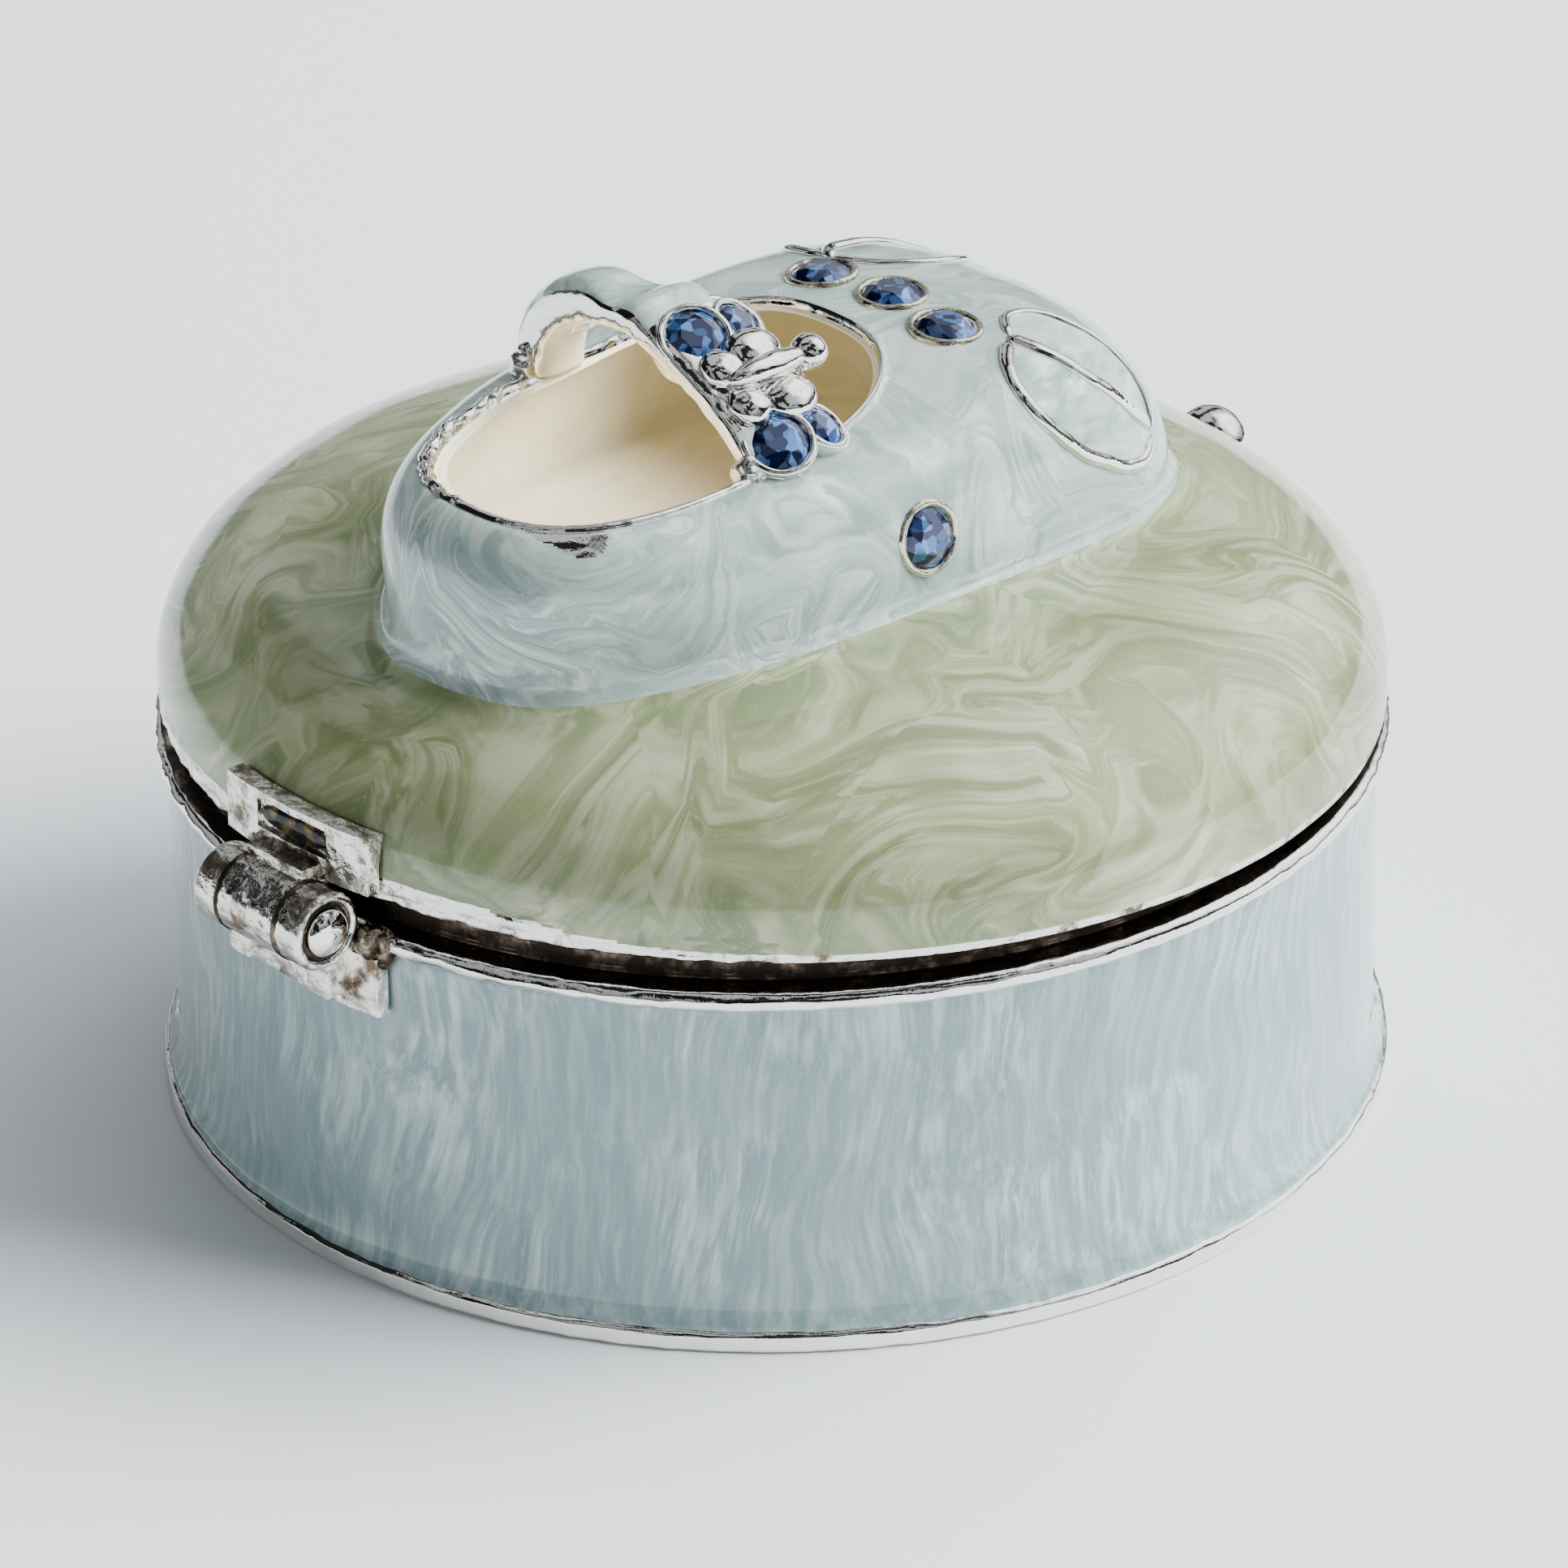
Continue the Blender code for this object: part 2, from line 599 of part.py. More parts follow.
def make_base_leaf():
    """Plate under the rim with the two outer knuckles of the barrel."""
    side = (BARREL_LENGTH - MIDDLE_KNUCKLE) / 2 - KNUCKLE_GAP
    offset = (BARREL_LENGTH - side) / 2
    top = RIM_TOP - RIM_HEIGHT - LEAF_GAP
    outside = WALL_RADIUS + HINGE_CLEARANCE
    low = (-LEAF_WIDTH / 2, WALL_RADIUS - LEAF_DEPTH, top - BASE_LEAF_HEIGHT)
    high = (LEAF_WIDTH / 2, WALL_RADIUS + LEAF_DEPTH, top)
    leaf = add_object("hinge_base_leaf", box_mesh(low, high), SILVER)
    bend = cylinder_mesh(WALL_RADIUS + LEAF_GAP + LEAF_THICKNESS, 4 * RIM_TOP, ROUND_STEPS, Matrix.Identity(4))
    apply_boolean(leaf, add_cutter("base_leaf_bend", bend), "INTERSECT")
    room_length = MIDDLE_KNUCKLE + 4 * KNUCKLE_GAP
    room = cylinder_mesh(BARREL_RADIUS + 2 * KNUCKLE_GAP, room_length, SMALL_STEPS, sideways(HINGE_AXIS, 0.0))
    apply_boolean(leaf, add_cutter("middle_knuckle_room", room), "DIFFERENCE")
    for index, place in enumerate((-offset, offset)):
        web_low = (place - side / 2, outside, top - BARREL_RADIUS)
        web_high = (place + side / 2, HINGE_AXIS.y, HINGE_AXIS.z)
        knuckle = cylinder_mesh(BARREL_RADIUS, side, SMALL_STEPS, sideways(HINGE_AXIS, place))
        apply_boolean(leaf, add_cutter(f"web_{index}", box_mesh(web_low, web_high)), "UNION")
        apply_boolean(leaf, add_cutter(f"outer_knuckle_{index}", knuckle), "UNION")
    bore = cylinder_mesh(PIN_RADIUS + PIN_CLEARANCE, 2 * BARREL_LENGTH, SMALL_STEPS, sideways(HINGE_AXIS, 0.0))
    apply_boolean(leaf, add_cutter("base_leaf_bore", bore), "DIFFERENCE")
    wall = cylinder_mesh(WALL_RADIUS + LEAF_GAP, 4 * RIM_TOP, ROUND_STEPS, Matrix.Identity(4))
    apply_boolean(leaf, add_cutter("wall_behind_leaf", wall), "DIFFERENCE")


def make_lid_leaf():
    """Plate on the lid's edge with a sunk pocket, a tongue and the middle knuckle."""
    axis = LID_AXIS
    front = LID_RADIUS + LEAF_GAP
    back = front + LEAF_THICKNESS
    low = (-LEAF_WIDTH / 2, LID_RADIUS - LEAF_DEPTH, LID_LEAF_LIFT)
    high = (LEAF_WIDTH / 2, LID_RADIUS + LEAF_DEPTH, LID_LEAF_LIFT + LID_LEAF_HEIGHT)
    leaf = add_object("hinge_lid_leaf", box_mesh(low, high), SILVER)
    tongue_low = (-MIDDLE_KNUCKLE / 2, front, axis.z)
    tongue_high = (MIDDLE_KNUCKLE / 2, axis.y, LID_LEAF_LIFT + LEAF_THICKNESS)
    knuckle = cylinder_mesh(BARREL_RADIUS, MIDDLE_KNUCKLE, SMALL_STEPS, sideways(axis, 0.0))
    pocket_z = LID_LEAF_LIFT + (LID_LEAF_HEIGHT + LEAF_THICKNESS) / 2
    pocket_low = (-POCKET_WIDTH / 2, back - POCKET_DEPTH, pocket_z - POCKET_HEIGHT / 2)
    pocket_high = (POCKET_WIDTH / 2, back + POCKET_DEPTH, pocket_z + POCKET_HEIGHT / 2)
    bore = cylinder_mesh(PIN_RADIUS + PIN_CLEARANCE, 2 * BARREL_LENGTH, SMALL_STEPS, sideways(axis, 0.0))
    shell = add_cutter("lid_behind_leaf", profile_mesh(lid_cutter_profile(LEAF_GAP)))
    add_screw(shell, ROUND_STEPS)
    bend = cylinder_mesh(back, 4 * RIM_TOP, ROUND_STEPS, Matrix.Identity(4))
    tools = [
        (add_cutter("lid_leaf_bend", bend), "INTERSECT"),
        (add_cutter("leaf_tongue", box_mesh(tongue_low, tongue_high)), "UNION"),
        (add_cutter("middle_knuckle", knuckle), "UNION"),
        (add_cutter("lid_leaf_bore", bore), "DIFFERENCE"),
        (add_cutter("leaf_pocket", box_mesh(pocket_low, pocket_high)), "DIFFERENCE"),
        (shell, "DIFFERENCE"),
    ]
    for tool, operation in tools:
        put_on_lid(tool)
        apply_boolean(leaf, tool, operation)
    put_on_lid(leaf)


def make_pin():
    """Hinge pin with a low round head at each end."""
    half = BARREL_LENGTH / 2 + KNUCKLE_GAP
    points = [(0.0, half + PIN_HEAD_HEIGHT)]
    for turn in (30.0, 60.0, 90.0):
        radius = PIN_HEAD_RADIUS * math.sin(math.radians(turn))
        points.append((radius, half + PIN_HEAD_HEIGHT * math.cos(math.radians(turn))))
    points.append((PIN_RADIUS, half))
    lower = [(radius, -height) for radius, height in reversed(points)]
    pin = add_object("hinge_pin", profile_mesh(points + lower), SILVER)
    add_screw(pin, SMALL_STEPS)
    pin.location = HINGE_AXIS
    pin.rotation_euler = (0.0, math.pi / 2, 0.0)


def make_thumb_piece():
    """Rounded grip fixed to the front of the lid's edge."""
    centre = Vector((0.0, -LID_RADIUS - THUMB_REACH, THUMB_LIFT))
    size = Matrix.Diagonal((THUMB_WIDTH / 2, THUMB_DEPTH / 2, THUMB_HEIGHT / 2, 1.0))
    bm = bmesh.new()
    bmesh.ops.create_uvsphere(
        bm, u_segments=18, v_segments=10, radius=1.0, matrix=Matrix.Translation(centre) @ size
    )
    thumb = add_object("thumb_piece", bm, SILVER)
    shell = add_cutter("lid_behind_thumb", profile_mesh(lid_cutter_profile(LEAF_GAP)))
    add_screw(shell, ROUND_STEPS)
    put_on_lid(shell)
    apply_boolean(thumb, shell, "DIFFERENCE")
    put_on_lid(thumb)


clear_scene()
PARTS = new_collection("shoe_trinket_box")
CUTTERS = new_collection("cutters")
BASE_ENAMEL = new_material("base_enamel", (0.52, 0.66, 0.70), 0.18, 0.0)
LID_ENAMEL = new_material("lid_enamel", (0.52, 0.60, 0.45), 0.15, 0.0)
SILVER = new_material("silver_plate", (0.86, 0.85, 0.82), 0.2, 1.0)
BLUE_CRYSTAL = new_material("blue_crystal", (0.05, 0.13, 0.38), 0.05, 0.0)

LID_HINGE = bpy.data.objects.new("lid_hinge", None)
LID_HINGE.location = HINGE_AXIS
LID_HINGE.rotation_euler = (LID_LEAN, 0.0, 0.0)
PARTS.objects.link(LID_HINGE)

SHOE_SKIN = loft(lid_rings())
PLACES = stone_places(BVHTree.FromBMesh(SHOE_SKIN))
SHOE_SKIN.free()

make_base()
make_base_leaf()
make_pin()
make_lid(PLACES)
make_lid_leaf()
make_stones(PLACES)
make_thumb_piece()
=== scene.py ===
"""Round enamelled trinket box with a baby shoe on its hinged lid."""
import math

import bmesh
import bpy
from mathutils import Matrix, Vector, noise
from mathutils.bvhtree import BVHTree


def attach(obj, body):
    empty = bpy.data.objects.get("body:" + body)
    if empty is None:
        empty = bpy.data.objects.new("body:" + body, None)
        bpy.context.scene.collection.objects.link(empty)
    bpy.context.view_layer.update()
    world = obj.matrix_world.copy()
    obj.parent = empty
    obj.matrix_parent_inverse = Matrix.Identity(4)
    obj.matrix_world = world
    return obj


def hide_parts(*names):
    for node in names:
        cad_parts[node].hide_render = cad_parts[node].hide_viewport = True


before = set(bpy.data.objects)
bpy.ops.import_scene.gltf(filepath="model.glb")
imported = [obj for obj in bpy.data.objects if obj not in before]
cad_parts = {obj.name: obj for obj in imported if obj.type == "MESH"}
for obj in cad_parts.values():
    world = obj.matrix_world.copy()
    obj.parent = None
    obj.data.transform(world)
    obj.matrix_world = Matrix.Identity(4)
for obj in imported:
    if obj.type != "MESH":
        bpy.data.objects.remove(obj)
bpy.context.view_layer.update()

# Cup: one silver-plated casting, with pale blue pearly enamel on its side between the foot
# band and the half-round rim. A thin collar inside the rim centres the lid. All meshes are
# drawn in millimetres.
FOOT_RADIUS = 31.0
FOOT_CORNER = 0.3
FOOT_BAND_TOP = 0.8
CUP_RADIUS = 30.1
FLARE_RADIUS = 30.62
FLARE_TOP = 3.4
FLARE_STEPS = 12
RIM_RADIUS = 30.8
RIM_BEAD = 0.53
RIM_TOP = 19.45
COLLAR_RADIUS = 29.11
COLLAR_CORNER = 0.15
COLLAR_STEP = 0.2
COLLAR_TOP = 20.75
CUP_INSIDE = 28.3
CUP_INSIDE_TOP = 18.4
CUP_FLOOR = 1.6
FLOOR_CORNER = 0.8
ENAMEL_LOW = 1.15
ENAMEL_HIGH = 18.3
NOTCH_HALF = 5.5
NOTCH_BOTTOM = 17.6
NOTCH_RADIUS = 29.95
CUP_STEPS = 320
METRES = 0.001


def wander(point, size, seed=0.0):
    """Smooth random value from -1 to 1 at a point, with bumps of about the given size."""
    return noise.noise(Vector((point[0] + seed, point[1], point[2])) / size)


def mix(first, second, share):
    return first + (second - first) * share


def smooth_share(value):
    value = min(max(value, 0.0), 1.0)
    return value * value * (3.0 - 2.0 * value)


def arc(centre, radius, start, end, steps):
    """Points (radius, height) of a round corner, with angles in degrees."""
    points = []
    for step in range(steps + 1):
        turn = math.radians(mix(start, end, step / steps))
        points.append((centre[0] + radius * math.cos(turn), centre[1] + radius * math.sin(turn)))
    return points


def straight(start, end, steps):
    """Points between two profile points, without the first."""
    points = []
    for step in range(1, steps + 1):
        share = step / steps
        points.append((mix(start[0], end[0], share), mix(start[1], end[1], share)))
    return points


def close_skin(bm):
    """Welds doubled corners and turns all faces outwards."""
    bmesh.ops.remove_doubles(bm, verts=bm.verts, dist=0.0005)
    bmesh.ops.recalc_face_normals(bm, faces=bm.faces)


def spun(points, steps):
    """Turns a profile of (radius, height) pairs once round Z."""
    bm = bmesh.new()
    verts = [bm.verts.new((radius, 0.0, height)) for radius, height in points]
    edges = [bm.edges.new(pair) for pair in zip(verts, verts[1:])]
    bmesh.ops.spin(
        bm, geom=verts + edges, cent=(0.0, 0.0, 0.0), axis=(0.0, 0.0, 1.0),
        angle=2.0 * math.pi, steps=steps, use_merge=True,
    )
    close_skin(bm)
    return bm


def move(bm, matrix):
    bmesh.ops.transform(bm, matrix=matrix, verts=bm.verts)


def beat(bm, depth, size, seed=0.0):
    """Gives a mesh soft dents of a depth and size in millimetres."""
    for vert in bm.verts:
        vert.co += vert.normal * depth * wander(vert.co, size, seed)


def new_object(name, data):
    holder = bpy.data.objects.new(name, data)
    bpy.context.scene.collection.objects.link(holder)
    return holder


def place_piece(name, bm, materials, body="lid", flat=False):
    """Makes a finished piece of a mesh drawn in millimetres, and fixes it to a body."""
    mesh = bpy.data.meshes.new(name)
    bmesh.ops.scale(bm, vec=(METRES, METRES, METRES), verts=bm.verts)
    bm.to_mesh(mesh)
    bm.free()
    for material in materials:
        mesh.materials.append(material)
    if flat:
        mesh.shade_flat()
    else:
        mesh.shade_smooth()
    piece = new_object(name, mesh)
    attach(piece, body)
    return piece


def new_material(name):
    """Material, its tree and shader, and the place on the piece in millimetres."""
    material = bpy.data.materials.new(name)
    material.use_nodes = True
    tree = material.node_tree
    place = make_node(tree, "TexCoord").outputs["Object"]
    place = vector_math(tree, "SCALE", {0: place, "Scale": 1.0 / METRES})
    return material, tree, tree.nodes["Principled BSDF"], place


def make_node(tree, kind, inputs=None, **settings):
    """Adds a shader node; each input is a value or another node's output."""
    node = tree.nodes.new("ShaderNode" + kind)
    for name, value in settings.items():
        setattr(node, name, value)
    set_inputs(tree, node, inputs or {})
    return node


def set_inputs(tree, node, inputs):
    for name, value in inputs.items():
        if isinstance(value, bpy.types.NodeSocket):
            tree.links.new(value, node.inputs[name])
        else:
            node.inputs[name].default_value = value


def vector_math(tree, operation, inputs, output=0):
    return make_node(tree, "VectorMath", inputs, operation=operation).outputs[output]


def calculate(tree, operation, first, second, clamp=False):
    inputs = {0: first, 1: second}
    return make_node(tree, "Math", inputs, operation=operation, use_clamp=clamp).outputs[0]


def clouds(tree, place, size, detail=2.0, rough=0.5):
    """Noise whose patches are about the given number of millimetres across."""
    inputs = {"Vector": place, "Scale": 1.0 / size, "Detail": detail, "Roughness": rough}
    return make_node(tree, "TexNoise", inputs)


def spread(tree, value, low, high, to_low=0.0, to_high=1.0):
    """Stretches a value's range softly to another one."""
    inputs = {
        "Value": value, "From Min": low, "From Max": high, "To Min": to_low, "To Max": to_high,
    }
    return make_node(tree, "MapRange", inputs, interpolation_type="SMOOTHSTEP").outputs[0]


def blend_colours(tree, share, first, second):
    """Mixes two colours; a colour is three numbers or another node's output."""
    node = make_node(tree, "Mix", {0: share}, data_type="RGBA")
    for index, colour in ((6, first), (7, second)):
        if not isinstance(colour, bpy.types.NodeSocket):
            colour = (*colour, 1.0)
        set_inputs(tree, node, {index: colour})
    return node.outputs[2]


def relief(tree, shader, height, depth, strength=1.0):
    """Fine relief of the given depth in millimetres."""
    inputs = {"Height": height, "Distance": depth * METRES, "Strength": strength}
    tree.links.new(make_node(tree, "Bump", inputs).outputs[0], shader.inputs["Normal"])


def shifted(tree, place, size, amount):
    """Moves places about by up to the given number of millimetres, so that lines waver."""
    drift = clouds(tree, place, size, 1.0).outputs["Color"]
    centred = vector_math(tree, "SUBTRACT", {0: drift, 1: (0.5, 0.5, 0.5)})
    moved = vector_math(tree, "SCALE", {0: centred, "Scale": 2.0 * amount})
    return vector_math(tree, "ADD", {0: place, 1: moved})


def eddies(tree, place, size, turn):
    """Winds the places up round scattered centres, as wet enamel is stirred with a needle."""
    cell = {"Vector": place, "Scale": 1.0 / size, "Randomness": 0.8}
    centre = make_node(tree, "TexVoronoi", cell).outputs["Position"]
    border = make_node(tree, "TexVoronoi", cell, feature="DISTANCE_TO_EDGE").outputs["Distance"]
    angle = spread(tree, border, -0.05, 0.50, 0.0, turn)
    surface = make_node(tree, "TexCoord").outputs["Normal"]
    wound = {"Vector": place, "Center": centre, "Axis": surface, "Angle": angle}
    return make_node(tree, "VectorRotate", wound).outputs[0]


def scaled(tree, value, factor):
    return calculate(tree, "MULTIPLY", value, factor)


def pearl_enamel(name, shade, body, pearl, size, turn, stretch, grain, contrast=1.0, lustre=0.7):
    """Glossy enamel: dark pools, a body colour, curling threads of pearl and a fine glitter.

    size and turn: swirls in millimetres and radians; stretch and grain: shape of the threads.
    """
    material, tree, shader, place = new_material(name)
    flow = shifted(tree, place, size * 1.5, size * 0.35)
    if turn > 0.0:
        flow = eddies(tree, eddies(tree, flow, size * 1.9, turn * 0.5), size, turn * 0.8)
    flow = shifted(tree, flow, size * 0.6, size * 0.07)
    flow = vector_math(tree, "MULTIPLY", {0: flow, 1: stretch})
    broad = spread(tree, clouds(tree, flow, grain * 4.0, 2.0, 0.5).outputs["Fac"], 0.34, 0.68)
    silk = spread(tree, clouds(tree, flow, grain * 1.5, 2.0, 0.5).outputs["Fac"], 0.40, 0.72)
    thread = spread(tree, clouds(tree, flow, grain * 0.5, 2.0, 0.55).outputs["Fac"], 0.46, 0.74)
    pool = spread(tree, clouds(tree, place, size * 0.8, 2.0).outputs["Fac"], 0.38, 0.62)
    glitter = spread(tree, clouds(tree, place, 0.11, 1.0).outputs["Fac"], 0.62, 0.80, 0.0, 0.22)
    colour = blend_colours(tree, scaled(tree, broad, contrast), shade, body)
    strands = calculate(tree, "ADD", scaled(tree, silk, 0.7), scaled(tree, thread, 0.3))
    strands = scaled(tree, strands, spread(tree, pool, 0.0, 1.0, 0.35, 1.0))
    shine = calculate(tree, "ADD", scaled(tree, strands, contrast), glitter, clamp=True)
    colour = blend_colours(tree, shine, colour, pearl)
    set_inputs(tree, shader, {
        "Base Color": colour, "Roughness": spread(tree, shine, 0.0, 1.0, 0.45, 0.33),
        "Metallic": spread(tree, shine, 0.0, 1.0, 0.35 * lustre, lustre),
        "Coat Weight": 1.0, "Coat Roughness": 0.07, "Coat IOR": 1.5,
    })
    relief(tree, shader, strands, 0.02, 0.5)
    return material


def silver(name, tone, tarnish, cover, rough, pit_size, pit_depth):
    """Silver plate with soft pits; the more cover, the more of its shine has gone brown."""
    material, tree, shader, place = new_material(name)
    patches = clouds(tree, place, 1.7, 5.0, 0.62).outputs["Fac"]
    dull = spread(tree, patches, 0.62 - cover, 0.78 - cover)
    grain = clouds(tree, place, pit_size, 3.0, 0.6).outputs["Fac"]
    colour = blend_colours(tree, dull, tone, tarnish)
    worn = calculate(tree, "ADD", scaled(tree, dull, 0.25), scaled(tree, grain, rough))
    set_inputs(tree, shader, {"Base Color": colour, "Roughness": worn, "Metallic": 1.0})
    waves = clouds(tree, place, pit_size * 2.5, 1.0, 0.4).outputs["Fac"]
    height = calculate(tree, "ADD", grain, scaled(tree, waves, 3.0))
    relief(tree, shader, height, pit_depth)
    return material


base_enamel = pearl_enamel(
    "base_pearl_enamel", (0.17, 0.26, 0.268), (0.225, 0.325, 0.333), (0.62, 0.74, 0.75),
    size=10.0, turn=0.0, stretch=(1.0, 1.0, 0.09), grain=0.42, contrast=0.75,
)
bright_silver = silver(
    "bright_silver", (0.96, 0.94, 0.89), (0.40, 0.36, 0.30),
    cover=-0.04, rough=0.08, pit_size=0.5, pit_depth=0.018,
)
worn_silver = silver(
    "worn_silver", (0.88, 0.86, 0.82), (0.16, 0.12, 0.08),
    cover=0.09, rough=0.20, pit_size=0.3, pit_depth=0.045,
)
# Dark brown silver for the collar and the rim's top under the lid: a little tarnish, mostly
# painted shade and painted reflection of the dark gap.
tarnish_and_shade_silver = silver(
    "tarnished_collar", (0.16, 0.12, 0.09), (0.04, 0.028, 0.02),
    cover=0.25, rough=0.5, pit_size=0.9, pit_depth=0.03,
)
inside_silver = silver(
    "cup_lining", (0.78, 0.77, 0.74), (0.40, 0.36, 0.30),
    cover=0.0, rough=0.6, pit_size=0.5, pit_depth=0.03,
)

underside = FOOT_RADIUS - FOOT_CORNER
collar_bend = COLLAR_TOP - COLLAR_CORNER
inner_collar = CUP_INSIDE - COLLAR_STEP
cup_profile = [(0.0, 0.0)] + straight((0.0, 0.0), (underside, 0.0), 12)
cup_profile += arc((underside, FOOT_CORNER), FOOT_CORNER, -75.0, 0.0, 4)
cup_profile += arc((underside, FOOT_BAND_TOP), FOOT_CORNER, 0.0, 80.0, 5)
for step in range(1, FLARE_STEPS + 1):
    height = mix(ENAMEL_LOW, FLARE_TOP, step / FLARE_STEPS)
    flare = (1.0 - step / FLARE_STEPS) ** 2.2
    cup_profile.append((mix(CUP_RADIUS, FLARE_RADIUS, flare), height))
cup_profile += straight((CUP_RADIUS, FLARE_TOP), (CUP_RADIUS, ENAMEL_HIGH - 0.3), 26)
cup_profile += [(CUP_RADIUS + 0.02, ENAMEL_HIGH - 0.12), (CUP_RADIUS + 0.1, ENAMEL_HIGH)]
cup_profile += arc((RIM_RADIUS - RIM_BEAD, RIM_TOP - RIM_BEAD), RIM_BEAD, -80.0, 90.0, 14)
cup_profile += straight((RIM_RADIUS - RIM_BEAD, RIM_TOP), (COLLAR_RADIUS + 0.02, RIM_TOP), 5)
cup_profile += straight((COLLAR_RADIUS, RIM_TOP), (COLLAR_RADIUS, collar_bend), 4)
cup_profile += arc((COLLAR_RADIUS - COLLAR_CORNER, collar_bend), COLLAR_CORNER, 20.0, 90.0, 3)
cup_profile += arc((inner_collar + COLLAR_CORNER, collar_bend), COLLAR_CORNER, 90.0, 180.0, 3)
cup_profile += straight((inner_collar, COLLAR_TOP - 0.2), (inner_collar, RIM_TOP), 3)
cup_profile += straight((inner_collar, RIM_TOP), (CUP_INSIDE, CUP_INSIDE_TOP), 3)
floor_bend = (CUP_INSIDE - FLOOR_CORNER, CUP_FLOOR + FLOOR_CORNER)
cup_profile += straight((CUP_INSIDE, CUP_INSIDE_TOP), (CUP_INSIDE, floor_bend[1]), 10)
cup_profile += arc(floor_bend, FLOOR_CORNER, 0.0, -90.0, 6)[1:]
cup_profile += straight((floor_bend[0], CUP_FLOOR), (0.0, CUP_FLOOR), 12)

cup = spun(cup_profile, CUP_STEPS)
CUP_MATERIALS = [base_enamel, bright_silver, tarnish_and_shade_silver, inside_silver]
CUP_SIDE = CUP_RADIUS - 0.5
for face in cup.faces:
    centre = face.calc_center_median()
    radius = math.hypot(centre.x, centre.y)
    if radius > CUP_SIDE and ENAMEL_LOW < centre.z < ENAMEL_HIGH:
        shown = base_enamel
    elif radius > CUP_SIDE and centre.z < RIM_TOP - 0.02:
        shown = bright_silver
    # The collar and the rim's top under the lid get the dark silver: painted shade with some
    # tarnish.
    elif radius > COLLAR_RADIUS - 0.3 and centre.z > ENAMEL_HIGH:
        shown = tarnish_and_shade_silver
    else:
        shown = inside_silver
    face.material_index = CUP_MATERIALS.index(shown)

# The silver bands are beaten, more so beside the hinge, and the enamel's edge wavers. The
# rim is cut back where the hinge leaf is let into the wall.
for vert in cup.verts:
    radius = math.hypot(vert.co.x, vert.co.y)
    outside = radius > CUP_SIDE
    if outside and (vert.co.z > ENAMEL_HIGH or 0.02 < vert.co.z < ENAMEL_LOW):
        at_rim = vert.co.z > ENAMEL_HIGH
        beside_hinge = smooth_share((vert.co.y - 17.0) / 9.0) if at_rim else 0.0
        hammer = (0.04 + 0.10 * beside_hinge) * wander(vert.co, 0.42, 7.0)
        dent = 0.07 * wander(vert.co, 0.9) + hammer - 0.05
        vert.co.x += dent * vert.co.x / radius
        vert.co.y += dent * vert.co.y / radius
    if outside and min(abs(vert.co.z - ENAMEL_HIGH), abs(vert.co.z - ENAMEL_LOW)) < 0.15:
        vert.co.z += 0.1 * wander(vert.co, 1.6, 3.0)
    if vert.co.y > 0.0 and vert.co.z > NOTCH_BOTTOM and radius > NOTCH_RADIUS:
        in_notch = smooth_share((NOTCH_HALF - abs(vert.co.x)) / 0.5)
        scale = mix(1.0, NOTCH_RADIUS / radius, in_notch)
        vert.co.x *= scale
        vert.co.y *= scale
cup_piece = place_piece("enamelled_cup", cup, CUP_MATERIALS, "base")
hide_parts("box_base")

# Lid and shoe: one hollow casting. The domed lid is green pearly enamel and the shoe,
# which grows out of it with a soft fillet, is pale blue-green. The foot hollow is cream,
# and the underside is bare silver plate. It is drawn level, then leaned on its hinge.
LID_LEAN = math.radians(1.3)
LID_RADIUS = 30.46
LID_BASE = Vector((0.0, 0.0, 19.75 + LID_RADIUS * math.sin(LID_LEAN)))
LID_EDGE = 1.8
LID_WALL = 1.5
LID_LIP = 1.0
DOME_RISE = 7.8
DOME_SHOULDER = 4.2
SHOE_OFFSET = -0.7
SHOE_LENGTH = 43.5
SHOE_CENTRE = 1.7
SHOE_WIDTH = 25.8
TOE_SPREAD = 0.043
SHOE_FILLET = 1.3
FILLET_RISE = 1.05
SHOE_WALL = 1.3
VAMP_WALL = 0.5
HEEL_BULGE = 0.68
VAMP_BULGE = 1.55
OPENING_LENGTH = 25.1
OPENING_CENTRE = 9.0
OPENING_WIDTH = 16.2
OPENING_ROUNDNESS = 2.56
HEEL_RISE = 16.5
VAMP_RISE = 18.7
SHOE_FLOOR = 9.6
FLOOR_CENTRE = Vector((SHOE_OFFSET, 4.0, SHOE_FLOOR))
LIP_BEAD = (
    (0.02, 0.14), (0.09, 0.25), (0.19, 0.31), (0.30, 0.32), (0.41, 0.27), (0.50, 0.16),
    (0.56, 0.02),
)
LIP_INSIDE = ((0.70, -0.02), (0.85, 0.03))
LID_STEPS = 360

lean = Matrix.Translation(LID_BASE) @ Matrix.Rotation(LID_LEAN, 4, "X")


def dome_height(radius, outer=LID_RADIUS, rise=DOME_RISE):
    """Height of the dome at a radius: nearly flat on top, with a round shoulder."""
    share = min(radius / outer, 1.0)
    return LID_EDGE + rise * math.sqrt(1.0 - share ** DOME_SHOULDER)


def signed_power(value, power):
    """Power that keeps the sign, for outlines between an ellipse and a rectangle."""
    return math.copysign(abs(value) ** power, value)


def toe_share(angle):
    """0 round the heel, 1 at the tip of the toe."""
    return smooth_share(0.5 - 0.75 * math.sin(angle))


def sole_outline(angle, grow):
    """Outline of the shoe at the lid, grown outwards; it is squarer at the heel's sides."""
    heel = mix(2.67, 1.96, smooth_share(0.5 + math.cos(angle)))
    power = 2.0 / mix(heel, 3.0, toe_share(angle))
    y = SHOE_CENTRE + (SHOE_LENGTH / 2 + grow) * signed_power(math.sin(angle), power)
    half = SHOE_WIDTH / 2 + grow - TOE_SPREAD * (y - SHOE_CENTRE)
    return Vector((SHOE_OFFSET + half * signed_power(math.cos(angle), power), y, 0.0))


